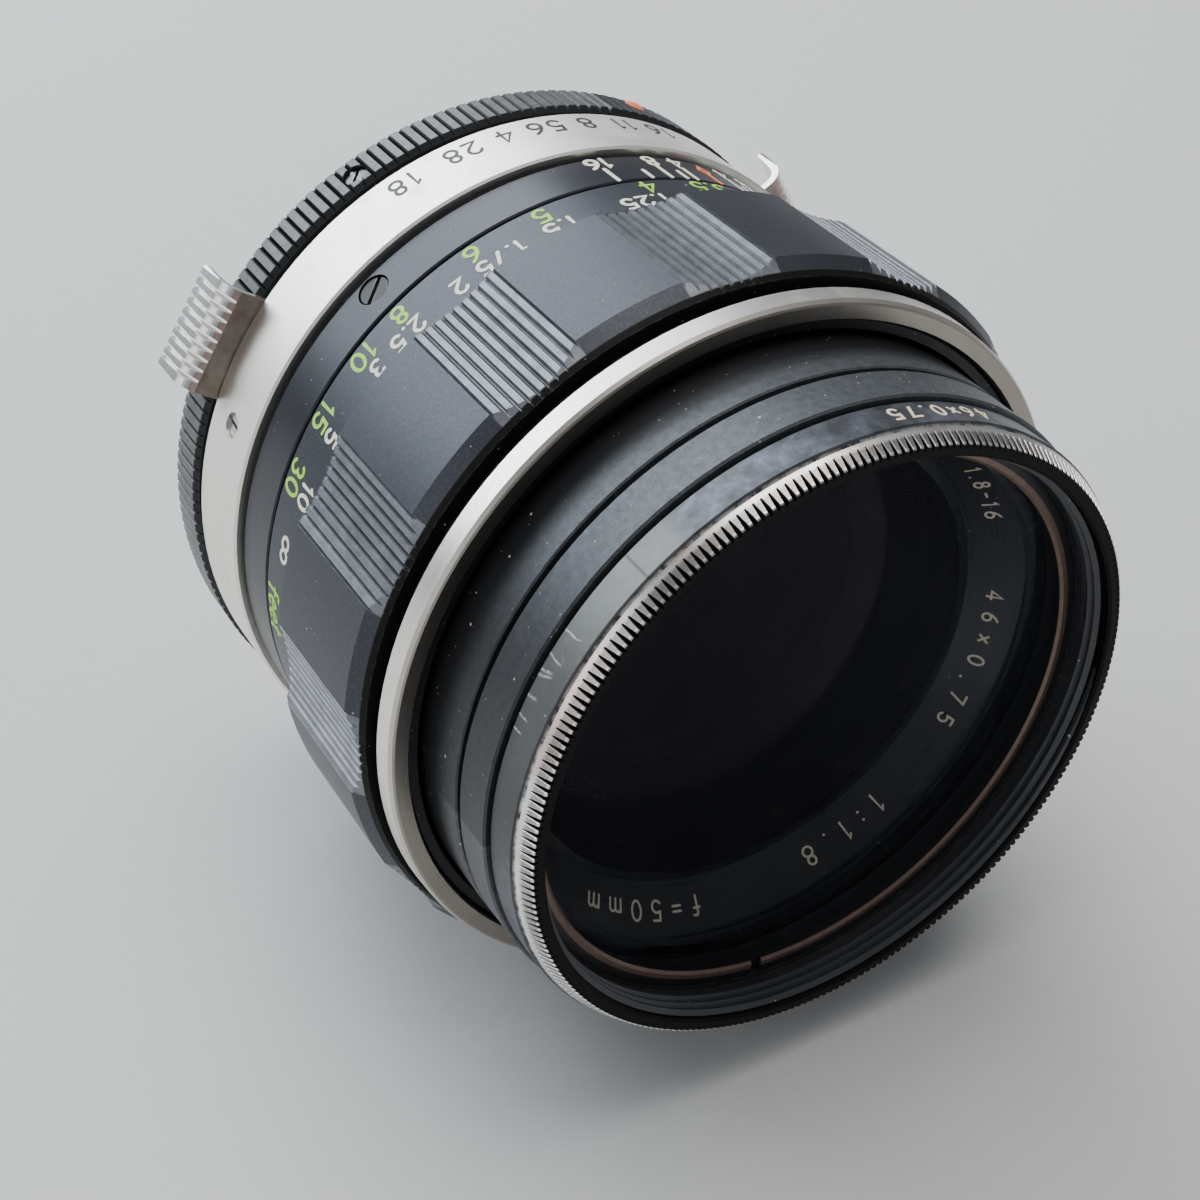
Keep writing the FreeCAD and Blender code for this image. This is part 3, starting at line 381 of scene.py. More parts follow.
def scuff_mask(graph):
    arc = (graph.angle - SCUFF_ANGLE) * SCUFF_ARC
    wobble = (graph.noise(1.3) - 0.5) * 0.35
    mask = None
    for centre, centre_h, radius, first, last, width in SCUFFS:
        aside, ahead = arc - centre, graph.h - centre_h
        reach = (aside * aside + ahead * ahead).sqrt()
        turn = graph.math("ARCTAN2", ahead, aside) * (180 / math.pi)
        line = abs(reach - radius + wobble).fall(width * 0.8, width * 2.2)
        line = line * (turn.rise(first, first + SCUFF_FADE) * turn.fall(last - SCUFF_FADE, last))
        mask = mask.maximum(line) if mask else line
    return mask


def filter_metal(name):
    """Black filter ring whose knurled front band is chromed and worn."""
    graph = Graph(name)
    h, radius, angle = graph.h, graph.radius, graph.angle
    grain = graph.grain(0.07)
    broad = graph.noise(0.16)
    edges = graph.edges(0.10)
    # chrome on the sloping skin of the front band and, in patches, on the lip behind it
    skin = 24.67 - (h - 50.40) * 0.535
    chrome = h.rise(50.26, 50.30) * (radius.rise(23.87, 23.91) * (skin - radius).fall(0.05, 0.09))
    lip = abs(h - 50.28).fall(0.02, 0.16) * graph.patches(0.9).rise(0.40, 0.60)
    chrome = chrome.maximum(lip * (radius > 24.3)).clamped()
    # brassy wear, a painted warm highlight on the left, dark turning lines
    brass = graph.noise(0.28, detail=4.0, rough=0.65).rise(0.50, 0.62) * 0.55
    silver = graph.mix(brass, (0.94, 0.93, 0.90), (0.72, 0.58, 0.50))
    silver = graph.mix(abs(angle - 150.0).fall(4.0, 14.0) * 0.75, silver, (0.80, 0.62, 0.56))
    silver = graph.mix(grain.rise(0.35, 0.7),
                       graph.mix(0.25, silver, (0.30, 0.29, 0.28)), silver)
    # side of the ring: mottled haze, partly real and partly painted sheen, blue and stronger
    # towards the top, with a painted green tinted sheen beyond the seam
    side = (radius > 24.0) * (h < 50.1)
    black = graph.mix(broad, (0.034, 0.036, 0.040), (0.052, 0.055, 0.061))
    haze = (graph.noise(0.55, detail=5.0, rough=0.65).rise(0.38, 0.68)
            * angle.rise(40.0, 118.0, low=0.65))
    haze = haze * side * angle.fall(118.0, 121.0)
    black = graph.mix(haze, black, graph.mix(graph.patches(1.5), (0.070, 0.080, 0.105),
                                             (0.20, 0.215, 0.255)))
    greenish_sheen = angle.rise(118.0, 121.0) * angle.fall(140.0, 170.0) * side
    black = graph.mix(greenish_sheen * 0.9, black, graph.mix(
        graph.patches(1.2), (0.098, 0.104, 0.100), (0.165, 0.172, 0.165)))
    dots = graph.dust(cell=1.1, size=0.09, shift=2.0, amount=0.5).maximum(
        graph.dust(cell=0.5, size=0.05, shift=13.0, amount=0.4))
    # lands between the slots are duller than the lip; the bore stays dark and the slots are
    # darkened as painted shade
    land = h.rise(50.66, 50.84) * h.fall(51.40, 51.50)
    silver = graph.mix(land * 0.62, silver, (0.16, 0.155, 0.145))
    bore = h.rise(50.60, 50.72) * radius.fall(23.93, 23.97)
    slot = h.rise(50.55, 50.66) * (skin - radius).rise(0.03, 0.08)
    inner = bore.maximum(slot).clamped()
    # scuffs, seam, worn edges and dust
    scuffs = scuff_mask(graph) * (
        side * graph.noise(2.6, detail=4.0, rough=0.75).rise(0.36, 0.54, low=0.15))
    hairlines = graph.scratches(8.0, slope=40.0, density=0.60, length=0.3, across=4.2) * 0.35
    scuffs = scuffs.maximum(hairlines).clamped()
    seam = abs(angle - 127.1).fall(0.05, 0.40) * (radius > 24.0)
    worn = edges * graph.patches(1.2).rise(0.45, 0.62)
    black = graph.mix(scuffs * 0.85, black, (0.55, 0.56, 0.56))
    black = graph.mix(seam * 0.6, black, (0.005, 0.005, 0.005))
    black = graph.mix(worn * 0.4, black, (0.45, 0.44, 0.42))
    black = graph.mix(dots * 0.7, black, (0.6, 0.6, 0.58))
    silver = graph.mix(edges * 0.6, silver, (0.95, 0.94, 0.92))
    black = graph.mix(inner, black, (0.004, 0.004, 0.004))
    black_rough = graph.lerp(inner, grain.scaled(times=0.10, plus=0.33), 0.55)
    chrome_rough = grain.scaled(times=0.12, plus=0.20)
    return graph.finish(graph.principled(
        base=graph.mix(chrome, black, silver),
        metal=graph.lerp(chrome, graph.lerp(inner, 0.5, 0.0), 1.0),
        rough=graph.lerp(chrome, black_rough, chrome_rough),
        normal=graph.bump(grain, distance=0.003, strength=0.5),
        spec=graph.lerp(inner, 0.55, 0.12), aniso=0.35, tangent=graph.tangent()))


def retainer_metal(name):
    """Black retaining ring, browned round its inner edge."""
    graph = Graph(name)
    mottle = graph.noise(1.6, detail=4.0, rough=0.65)
    fine = graph.noise(12.0, detail=2.0)
    colour = graph.mix(mottle, (0.022, 0.023, 0.025), (0.040, 0.042, 0.045))
    inner = graph.radius.fall(21.98, 22.06) * graph.h.rise(48.02, 48.12)
    colour = graph.mix(inner * mottle.rise(0.2, 0.6, low=0.65), colour, (0.20, 0.135, 0.105))
    return graph.finish(graph.principled(
        base=colour, metal=0.6, rough=graph.grain(0.06).scaled(times=0.15, plus=0.32),
        normal=graph.bump(fine, distance=0.004, strength=0.5), spec=0.5))


def knurl_metal(name):
    """Black knurled ring, its lands rubbed lighter except round 54.3 degrees."""
    graph = Graph(name)
    lands = graph.radius.rise(KNURL_R - 0.22, KNURL_R - 0.09) * graph.h.fall(4.05, 4.20)
    rubbed = lands * graph.patches(0.5).rise(0.20, 0.75, low=0.45)
    rubbed = rubbed * abs(graph.angle - 54.3).rise(15.7, 16.1)
    fine = graph.noise(7.0, rough=0.7)
    dots = graph.dust(cell=0.9, size=0.10, shift=5.0, amount=0.5).maximum(
        graph.dust(cell=0.45, size=0.05, shift=16.0, amount=0.5))
    colour = graph.mix(graph.noise(0.18), (0.016, 0.017, 0.019), (0.034, 0.036, 0.040))
    # rubbed lands, dust
    colour = graph.mix(rubbed * 0.85, colour, graph.mix(
        graph.noise(2.6, detail=4.0, rough=0.75), (0.060, 0.065, 0.063), (0.30, 0.31, 0.295)))
    colour = graph.mix(dots * 0.7, colour, (0.5, 0.5, 0.48))
    return graph.finish(graph.principled(
        base=colour, metal=0.5, rough=fine.scaled(times=0.25, plus=0.36),
        normal=graph.bump(fine, distance=0.008, strength=0.5), spec=0.5))


PANEL_STEP = 30.0       # angle between the twelve ribbed panels of the grip
PANEL_ANGLE = 119.4     # middle of one panel


def focus_metal(name):
    """Black anodised grip: blue-grey satin lands, dark grooves, worn rib tops."""
    graph = Graph(name)
    h = graph.h
    broad = graph.noise(0.14)
    fine = graph.noise(11.0, rough=0.7)
    # the 720 keeps the angle positive for the modulo
    turned = graph.angle + (720.0 - PANEL_ANGLE + PANEL_STEP / 2)
    off_middle = abs(turned % PANEL_STEP - PANEL_STEP / 2)
    panel = off_middle.fall(6.9, 7.1) * h.rise(23.5, 23.6) * (h < 35.9)
    rubbed = panel * graph.patches(0.6).rise(0.22, 0.62, low=0.35)
    rubbed = rubbed * graph.radius.rise(GRIP_R - 0.95, GRIP_R - 0.55)
    specks = graph.noise(4.5, detail=4.0, rough=0.75)
    colour = graph.mix(broad, (0.030, 0.033, 0.040), (0.048, 0.053, 0.064))
    # blue-grey specks, rubbed ribs, near-black bevel, bare edges, dust
    colour = graph.mix(specks.rise(0.45, 0.75) * 0.55, colour, (0.085, 0.095, 0.120))
    colour = graph.mix(rubbed * 0.85, colour,
                       graph.mix(specks, (0.17, 0.18, 0.20), (0.30, 0.31, 0.34)))
    bevel = h.rise(GRIP_BEVEL_H + 0.02, GRIP_BEVEL_H + 0.10)
    colour = graph.mix(bevel, colour,
                       graph.mix(specks, (0.003, 0.003, 0.003), (0.012, 0.011, 0.011)))
    worn = graph.edges(0.10) * graph.patches(1.3).rise(0.46, 0.66)
    colour = graph.mix(worn * 0.40, colour, (0.40, 0.40, 0.40))
    dots = graph.dust(cell=1.2, size=0.10, shift=1.0, amount=0.5).maximum(
        graph.dust(cell=0.5, size=0.055, shift=11.0, amount=0.5))
    colour = graph.mix(dots * 0.7, colour, (0.58, 0.58, 0.56))
    roughness = broad.scaled(times=0.10, plus=0.30) + fine * 0.12
    roughness = roughness.maximum(dots * 0.9).clamped()
    normal = graph.bump(fine, distance=0.006, strength=0.5)
    normal = graph.bump(graph.grain(0.09), distance=0.002, strength=0.4, normal=normal)
    return graph.finish(graph.principled(
        base=colour, metal=graph.lerp(bevel, 0.6, 0.1),
        rough=graph.lerp(bevel * 0.8, roughness, 0.5),
        normal=normal, spec=graph.lerp(bevel, 0.6, 0.12)))


def barrel_metal(name):
    """Front barrel: satin black that turns hazy and specked towards the front."""
    graph = Graph(name)
    broad = graph.noise(0.16)
    mottle = graph.noise(1.7, detail=5.0, rough=0.7)
    fine = graph.noise(8.0, detail=4.0, rough=0.75)
    colour = graph.mix(broad, (0.014, 0.015, 0.017), (0.024, 0.026, 0.029))
    # haze, thickest below 118 degrees
    thick = graph.angle.rise(150.0, 118.0)
    haze = graph.h.rise(40.3, 42.0) * thick.scaled(times=0.65, plus=0.35)
    specks = fine.scaled(times=0.7, plus=mottle.scaled(times=0.9, plus=-0.45)).clamped()
    colour = graph.mix(haze, colour,
                       graph.mix(specks, (0.040, 0.044, 0.050), (0.175, 0.19, 0.21)))
    # bare edges, dust
    worn = graph.edges(0.10) * graph.patches(1.1).rise(0.44, 0.62)
    colour = graph.mix(worn * 0.45, colour, (0.42, 0.41, 0.40))
    dots = graph.dust(cell=1.0, size=0.11, shift=7.0, amount=0.6).maximum(
        graph.dust(cell=0.42, size=0.06, shift=38.0, amount=0.7))
    colour = graph.mix(dots * 0.75, colour, (0.62, 0.62, 0.60))
    roughness = broad.scaled(times=0.10, plus=0.36) + graph.grain(0.06) * 0.10
    roughness = roughness.maximum(dots * 0.9).clamped()
    return graph.finish(graph.principled(
        base=colour, metal=0.6, rough=roughness,
        normal=graph.bump(fine, distance=0.005, strength=0.6), spec=0.5))


def steel(name, base=(0.55, 0.55, 0.56), rough=0.25, painted_front_reflection=False):
    """Plain metal; with the flag set, a brownish reflection is painted on the faces turned to the
    front.
    """
    graph = Graph(name)
    fine = graph.noise(18.0, detail=2.0)
    colour = graph.mix(graph.noise(4.0), tinted(base, 0.75), tinted(base, 1.1))
    if painted_front_reflection:
        # painted reflection: faces turned to the front get a patchy dark brownish reflection
        facing = graph.normal_y() * -1.0
        face = graph.h.rise(4.86, 4.98) * facing.rise(0.60, 0.80)
        worn = graph.noise(0.55, detail=4.0, rough=0.65).rise(0.25, 0.75, low=0.75)
        brown = graph.mix(graph.noise(1.6), (0.15, 0.115, 0.095), (0.25, 0.195, 0.165))
        # painted reflection, redder where the face slopes away
        brown = graph.mix(facing.fall(0.93, 0.995), brown, (0.42, 0.27, 0.23))
        colour = graph.mix(face * worn, colour, brown)
    colour = graph.mix(graph.edges(0.08) * 0.4, colour, (0.85, 0.85, 0.85))
    return graph.finish(graph.principled(
        base=colour, metal=1.0, rough=fine.vary(around=rough, by=0.2),
        normal=graph.bump(fine, distance=0.003, strength=0.5)))


materials = {
    "black_anodised": focus_metal("focus_grip_black"),
    "fixed": black_metal("barrel_black", (0.026, 0.028, 0.031), rough=0.34, seed=4.0),
    "black_satin": black_metal("satin_black", (0.024, 0.026, 0.029), rough=0.30, seed=2.0,
                               wear=0.45),
    "depth": black_metal("scale_black", (0.026, 0.029, 0.036), rough=0.34, seed=6.0,
                         grain_pitch=0.08),
    "bezel": black_metal("bezel_black", (0.064, 0.068, 0.076), rough=0.42, metal=0.65,
                         seed=7.0, grain_pitch=0.06, dust=0.6),
    "black_flat": black_metal("flat_black", (0.007, 0.007, 0.008), rough=0.48, metal=0.25,
                              seed=8.0, wear=0.12, dust=0.2),
    "name": black_metal("name_black", (0.012, 0.012, 0.013), rough=0.30, metal=0.5, seed=9.0,
                        wear=0.10, dust=0.35, grain_pitch=0.05, grain_amount=0.5),
    "satin_chrome": bright_metal("satin_chrome", (0.90, 0.875, 0.80), rough=0.36, pitch=0.06,
                                 grime=0.45, seed=1.0),
    "bright_chrome": bright_metal("mount_chrome", (0.80, 0.80, 0.79), rough=0.20, pitch=0.06,
                                  seed=2.0),
    "tab_chrome": steel("tab_chrome", (0.88, 0.87, 0.85), rough=0.30, painted_front_reflection=True),
    "bright_aluminium": bright_metal("trim_aluminium", (0.90, 0.875, 0.80), rough=0.26,
                                     pitch=0.04, front=(0.33, 0.30, 0.265), seed=3.0),
    "steel": steel("screw_steel"),
    "dark_steel": steel("dark_screw", (0.13, 0.13, 0.14), rough=0.30),
    "brass": bright_metal("turned_brass", (0.60, 0.45, 0.22), rough=0.28, pitch=0.07,
                          grime=0.4, seed=5.0),
    "blade_steel": steel("blade_steel", (0.12, 0.12, 0.135), rough=0.34),
    "optical_glass": lens_glass("coated_glass", tint=(0.50, 0.50, 0.54),
                                coat=(0.55, 0.42, 0.60), strength=0.30, seed=1.0),
    "filter_glass": lens_glass("filter_glass", tint=(0.95, 0.96, 0.97),
                               coat=(0.60, 0.66, 0.80), strength=0.24, seed=3.0),
    "filter_ring": filter_metal("filter_black_and_chrome"),
    "knurl": knurl_metal("knurl_black"),
    "retainer": retainer_metal("retainer_black"),
    "front": barrel_metal("front_barrel_black"),
    "screw_dark": black_metal("screw_black", (0.030, 0.030, 0.032), rough=0.50, metal=0.35,
                              seed=12.0, wear=0.8, dust=0.6, edge_radius=0.16),
}
# pieces that don't take the material of their slot
OWN_MATERIAL = {
    "fixed_barrel": "fixed", "depth_scale_ring": "depth", "front_bezel": "front",
    "front_barrel": "front", "name_ring": "name", "aperture_tabs": "tab_chrome",
    "filter_ring": "filter_ring", "knurled_rear_ring": "knurl",
    "filter_retainer": "retainer", "depth_ring_screws": "screw_dark",
}
slot_of = {part["node"]: part["material_slot"] for part in frame["record"]["subparts"]}
for node, piece in frame["nodes"].items():
    piece.data.materials.clear()
    piece.data.materials.append(materials[OWN_MATERIAL.get(node, slot_of[node])])

cream = paint("cream_fill", (0.92, 0.88, 0.74))
green = paint("green_fill", (0.40, 0.76, 0.09))
orange = paint("orange_fill", (0.95, 0.26, 0.09), rough=0.45)
red = paint("red_dot", (1.0, 0.24, 0.09), rough=0.30, wear=0.1)
gold = paint("pale_gold_fill", (0.78, 0.66, 0.50), wear=0.35)
dark = paint("dark_fill", (0.045, 0.042, 0.040), wear=0.35, under=(0.5, 0.5, 0.48))


# ---------------------------------------------------------------------------
# figures, drawn as single strokes of a round cutter
# ---------------------------------------------------------------------------
def arc(cx, cy, rx, ry, first, last, steps=14):
    turns = (math.radians(first + (last - first) * i / steps) for i in range(steps + 1))
    return [(cx + rx * math.cos(turn), cy + ry * math.sin(turn)) for turn in turns]


def line(*points):
    return list(points), False


def oval(cx, cy, rx, ry):
    return arc(cx, cy, rx, ry, 90, 450, 26)[:-1], True


# width of each figure and its strokes, in units of the figure height
GLYPHS = {
    "0": (0.62, [oval(0.31, 0.5, 0.27, 0.46)]),
    "1": (0.30, [line((0.03, 0.80), (0.17, 0.96), (0.17, 0.04))]),
    "2": (0.60, [line(*arc(0.30, 0.69, 0.25, 0.27, 165, -25, 12),
                      (0.40, 0.40), (0.05, 0.04), (0.57, 0.04))]),
    "3": (0.58, [line(*arc(0.28, 0.73, 0.22, 0.23, 150, -75, 12),
                      *arc(0.28, 0.28, 0.25, 0.24, 80, -150)[1:])]),
    "4": (0.64, [line((0.44, 0.04), (0.44, 0.96), (0.04, 0.30), (0.60, 0.30))]),
    "5": (0.60, [line((0.52, 0.96), (0.14, 0.96), (0.09, 0.55),
                      *arc(0.29, 0.32, 0.26, 0.28, 125, -145))]),
    "6": (0.60, [line((0.47, 0.95), (0.28, 0.80), (0.12, 0.58), (0.05, 0.36)),
                 oval(0.30, 0.29, 0.25, 0.25)]),
    "7": (0.58, [line((0.04, 0.96), (0.55, 0.96), (0.20, 0.04))]),
    "8": (0.60, [oval(0.30, 0.74, 0.20, 0.21), oval(0.30, 0.28, 0.25, 0.24)]),
    "9": (0.60, [line((0.13, 0.05), (0.32, 0.20), (0.48, 0.42), (0.55, 0.64)),
                 oval(0.30, 0.71, 0.25, 0.25)]),
    ".": (0.14, [line((0.06, 0.05), (0.08, 0.05))]),
    ":": (0.18, [line((0.08, 0.22), (0.10, 0.22)), line((0.08, 0.68), (0.10, 0.68))]),
    "=": (0.55, [line((0.06, 0.36), (0.49, 0.36)), line((0.06, 0.62), (0.49, 0.62))]),
    "-": (0.45, [line((0.06, 0.48), (0.39, 0.48))]),
    "x": (0.50, [line((0.05, 0.22), (0.45, 0.72)), line((0.05, 0.72), (0.45, 0.22))]),
    "f": (0.42, [line((0.40, 0.93), *arc(0.27, 0.80, 0.12, 0.15, 70, 180, 6), (0.15, 0.04)),
                 line((0.02, 0.60), (0.34, 0.60))]),
    "t": (0.38, [line((0.15, 0.90), (0.15, 0.18), *arc(0.25, 0.16, 0.10, 0.12, 180, 290, 5)),
                 line((0.02, 0.62), (0.34, 0.62))]),
    "m": (0.86, [line((0.06, 0.04), (0.06, 0.64)),
                 line((0.06, 0.48), *arc(0.24, 0.46, 0.17, 0.18, 150, 0, 7), (0.41, 0.04)),
                 line((0.41, 0.48), *arc(0.59, 0.46, 0.17, 0.18, 150, 0, 7), (0.76, 0.04))]),
    "infinity": (1.20, [oval(0.32, 0.5, 0.28, 0.27), oval(0.88, 0.5, 0.28, 0.27)]),
    "e": (0.54, [line((0.06, 0.36), (0.47, 0.36), *arc(0.27, 0.34, 0.21, 0.30, 15, 315))]),
}
CAP_STEPS = 6           # segments of a rounded stroke end
MITRE_LIMIT = 0.62      # keeps sharp corners from spiking


def lay_out(text, height, gap=0.20, slant=0.0):
    """Strokes of a row of glyphs, centred on (0, 0); the gap is in figure heights."""
    x, strokes = 0.0, []
    for glyph in text:
        width, glyph_strokes = GLYPHS[glyph]
        for points, closed in glyph_strokes:
            placed = [((x + px + slant * (py - 0.5)) * height, (py - 0.5) * height)
                      for px, py in points]
            strokes.append((placed, closed))
        x += width + gap
    shift = (x - gap) * height / 2
    return [([(px - shift, py) for px, py in points], closed) for points, closed in strokes]


def stroke_sides(points, closed, half):
    """Left and right edges of a stroke of half width `half`."""
    left, right = [], []
    last = len(points) - 1
    for i, point in enumerate(points):
        after = points[(i + 1) % len(points)]
        arriving = point - points[i - 1] if closed or i > 0 else after - point
        leaving = after - point if closed or i < last else point - points[i - 1]
        arriving = arriving / max(np.hypot(*arriving), 1e-9)
        leaving = leaving / max(np.hypot(*leaving), 1e-9)
        heading = arriving + leaving
        length = np.hypot(*heading)
        heading = heading / length if length > 1e-6 else leaving
        normal = np.array((-heading[1], heading[0]))
        lean = abs(normal[0] * -leaving[1] + normal[1] * leaving[0])
        offset = normal * half * (1 / max(MITRE_LIMIT, lean))
        left.append(point + offset)
        right.append(point - offset)
    return left, right


def round_cap(end, heading, half):
    start = math.atan2(heading[1], heading[0])
    turns = (start + (math.pi / 2 - math.pi * i / CAP_STEPS) for i in range(1, CAP_STEPS))
    return [end + half * np.array((math.cos(turn), math.sin(turn))) for turn in turns]


def add_stroke(verts, faces, points, closed, width, put, top, bottom):
    """Add one stroke as a closed solid; put(across, up, out) places a point on its surface."""
    points = [np.array(point, float) for point in points]
    count, half, base = len(points), width / 2, len(verts)
    left, right = stroke_sides(points, closed, half)
    if closed:
        outline = left + right
    else:
        end_cap = round_cap(points[-1], points[-1] - points[-2], half)
        start_cap = round_cap(points[0], points[0] - points[1], half)
        outline = left + end_cap + right[::-1] + start_cap
    for out in (top, bottom):
        verts.extend(put(point[0], point[1], out) for point in outline)
    under = len(outline)            # from a top vertex to the bottom one below it

    if closed:
        for i in range(count):
            j = (i + 1) % count
            l0, l1, r0, r1 = base + i, base + j, base + count + i, base + count + j
            faces += [(r0, r1, l1, l0), (l0 + under, l1 + under, r1 + under, r0 + under),
                      (l0, l1, l1 + under, l0 + under), (r1, r0, r0 + under, r1 + under)]
        return

    right_end = count + len(end_cap)
    right_start = right_end + count - 1
    for i in range(count - 1):
        l0, r0 = base + i, base + right_start - i
        faces.append((r0, r0 - 1, l0 + 1, l0))
        faces.append((l0 + under, l0 + 1 + under, r0 - 1 + under, r0 + under))
    end_fan = [base + i for i in range(count - 1, right_end + 1)]
    start_fan = [base + i for i in range(right_start, under)] + [base]
    for fan in (end_fan, start_fan):
        faces.append(tuple(fan[::-1]))
        faces.append(tuple(i + under for i in fan))
    for i in range(under):
        j = (i + 1) % under
        faces.append((base + i, base + j, base + under + j, base + under + i))


def on_cylinder(r, angle, h):
    """Places on a cylinder round (angle, h); figure tops point to the front."""
    def put(across, up, out):
        return at(r + out, angle + math.degrees(across / r), h + up)
    return put


def mesh_piece(name, verts, faces, material, body):
    mesh = bpy.data.meshes.new(name)
    mesh.from_pydata([tuple(vert) for vert in verts], [], faces)
    mesh.validate()
    mesh.update()
    piece = bpy.data.objects.new(name, mesh)
    bpy.context.scene.collection.objects.link(piece)
    mesh.materials.append(material)
    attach(piece, body)


def figures(name, items, width, material, body, top=0.022, bottom=-0.06):
    """Join (strokes, put) items into one piece, from `bottom` to `top` off the surface."""
    verts, faces = [], []
    for strokes, put in items:
        for points, closed in strokes:
            add_stroke(verts, faces, points, closed, width, put, top, bottom)
    mesh_piece(name, verts, faces, material, body)


# ---------------------------------------------------------------------------
# distance scale on the focusing ring
# ---------------------------------------------------------------------------
METRE_H, FOOT_H = 20.55, 18.45
MM_PER_METRE, MM_PER_FOOT = 1000.0, 304.8
METRES = ("10", "5", "3", "2.5", "2", "1.75", "1.5", "1.25", "1",
          ".9", ".8", ".7", ".6", ".5", ".45")
FEET = ("30", "15", "10", "8", "6", "5", "4", "3.5", "3", "2.5", "2", "1.75", "1.5")
# degrees by which some figures stand off their true angle
METRE_SHIFT = {"5": -0.6, "1.25": -0.5, "1.5": -0.3}
FOOT_SHIFT = {"4": -1.5, "5": -0.6}


def distance_angle(distance):
    """Where the mark of a distance in millimetres stands."""
    return 164.6 - 36.6 * 2500.0 / (distance - 100.0)


def distance_figures(texts, unit, shifts, height, h):
    return [(lay_out(text, height),
             on_cylinder(SKIRT_R, distance_angle(float(text) * unit) + shifts.get(text, 0.0), h))
            for text in texts]


items = distance_figures(METRES, MM_PER_METRE, METRE_SHIFT, height=1.65, h=METRE_H)
items.append((lay_out(["infinity"], 1.75), on_cylinder(SKIRT_R, angle=165.4, h=19.62)))
figures("distance_marks_metres", items, 0.29, cream, "focus")

items = distance_figures(FEET, MM_PER_FOOT, FOOT_SHIFT, height=1.85, h=FOOT_H)
items.append((lay_out("feet", 1.95, gap=0.10, slant=0.12),
              on_cylinder(SKIRT_R, angle=177.8, h=FOOT_H)))
figures("distance_marks_feet", items, 0.29, green, "focus")

metre_unit_angle = distance_angle(0.45 * MM_PER_METRE) - 9.0
figures("distance_unit_metres",
        [(lay_out("m", 1.9), on_cylinder(SKIRT_R, metre_unit_angle, METRE_H))],
        0.26, cream, "focus")

# ---------------------------------------------------------------------------
# depth of field scale and its index
# ---------------------------------------------------------------------------
# angle either side of the index, figure; marks without a figure are shorter
DEPTH_MARKS = ((19.3, "16"), (13.3, None), (9.7, "8"), (6.8, None), (4.8, "4"))

items = []
for offset, figure in DEPTH_MARKS:
    for side in (-1, 1):
        angle = INDEX_ANGLE + side * offset
        length = 2.1 if figure else 1.35
        items.append(([line((0, 0), (0, -length))],
                      on_cylinder(DEPTH_R, angle, DEPTH_FRONT - 0.16)))
        if figure:
            items.append((lay_out(figure, 1.7, gap=0.16),
                          on_cylinder(DEPTH_R, angle, DEPTH_REAR + 1.45)))
figures("depth_scale_marks", items, 0.33, cream, "base")

# a line with a diamond behind it
diamond = [(0, -1.6), (0.42, -2.45), (0, -3.3), (-0.42, -2.45)]
figures("index_mark", [([line((0, 0), (0, -1.55)), (diamond, True)],
                        on_cylinder(DEPTH_R, INDEX_ANGLE, DEPTH_FRONT - 0.2))],
        0.36, orange, "base")

# ---------------------------------------------------------------------------
# aperture scale
# ---------------------------------------------------------------------------
# figure, angle
APERTURES = (("18", 110.9), ("28", 100.5), ("4", 93.1), ("56", 86.1), ("8", 78.9),
             ("11", 72.0), ("16", 64.9))
figures("aperture_marks", [(lay_out(text, 2.0, gap=0.24), on_cylinder(APERTURE_R, angle, 7.25))
                           for text, angle in APERTURES],
        0.26, dark, "aperture")

# ---------------------------------------------------------------------------
# figures on the conical face of the name ring and on the filter ring
# ---------------------------------------------------------------------------
CONE_R, CONE_H = 19.3, 40.35            # inner edge of the cone
CONE_WIDTH, CONE_DEPTH = 2.9, 3.05      # growth of r and h from there to the outer edge
NAME_R = 20.82                          # centre line of the figures
NAME_H = CONE_H + (NAME_R - CONE_R) * CONE_DEPTH / CONE_WIDTH
# text, height, gap, angle
NAME_FIGURES = (
    ("f=50mm", 1.62, 0.62, -119),
    ("1:1.8", 1.62, 0.78, -66),
    ("46x0.75", 1.30, 0.95, -17),
    ("1.8-16", 1.22, 0.50, 28),
    ("f=50mm", 1.62, 0.62, 92),
    ("1:1.8", 1.62, 0.78, 146),
)


def on_name_cone(angle):
    """Places on the cone; figure tops point outwards and text runs clockwise."""
    slant = math.hypot(CONE_WIDTH, CONE_DEPTH)
    along_r, along_h = CONE_WIDTH / slant, CONE_DEPTH / slant

    def put(across, up, out):
        return at(NAME_R + up * along_r - out * along_h, angle - math.degrees(across / NAME_R),
                  NAME_H + up * along_h + out * along_r)
    return put


figures("name_ring_figures", [(lay_out(text, height, gap), on_name_cone(angle))
                              for text, height, gap, angle in NAME_FIGURES],
        0.19, gold, "barrel", top=0.014, bottom=-0.04)
figures("filter_size_figures",
        [(lay_out("46x0.75", 1.30, gap=0.46), on_cylinder(FILTER_R, angle=72.6, h=48.70))],
        0.23, gold, "filter")


# ---------------------------------------------------------------------------
# domed red dot on the knurled rear ring
# ---------------------------------------------------------------------------
def index_dot():
    radius, dome, lift, sunk = 0.92, 0.26, 0.012, -0.15
    rings, segments = 5, 28
    put = on_cylinder(KNURL_R - 0.05, angle=62.8, h=1.75)
    # share of the radius and height of each ring, the last one sunk into the knurled ring
    levels = [(i / rings, lift + dome * (1 - (i / rings) ** 2)) for i in range(1, rings + 1)]
    levels.append((1.0, sunk))
    verts = [put(0, 0, dome + lift)]
    for share, out in levels:
        for j in range(segments):
            turn = 2 * math.pi * j / segments
            verts.append(put(radius * share * math.cos(turn), radius * share * math.sin(turn),
                             out))
    faces = [(0, 1 + j, 1 + (j + 1) % segments) for j in range(segments)]
    for i in range(rings):
        inner, outer = 1 + i * segments, 1 + (i + 1) * segments
        for j in range(segments):
            k = (j + 1) % segments
            faces.append((inner + j, outer + j, outer + k, inner + k))
    faces.append(tuple(1 + rings * segments + j for j in range(segments))[::-1])
    mesh_piece("mount_index_dot", verts, faces, red, "base")


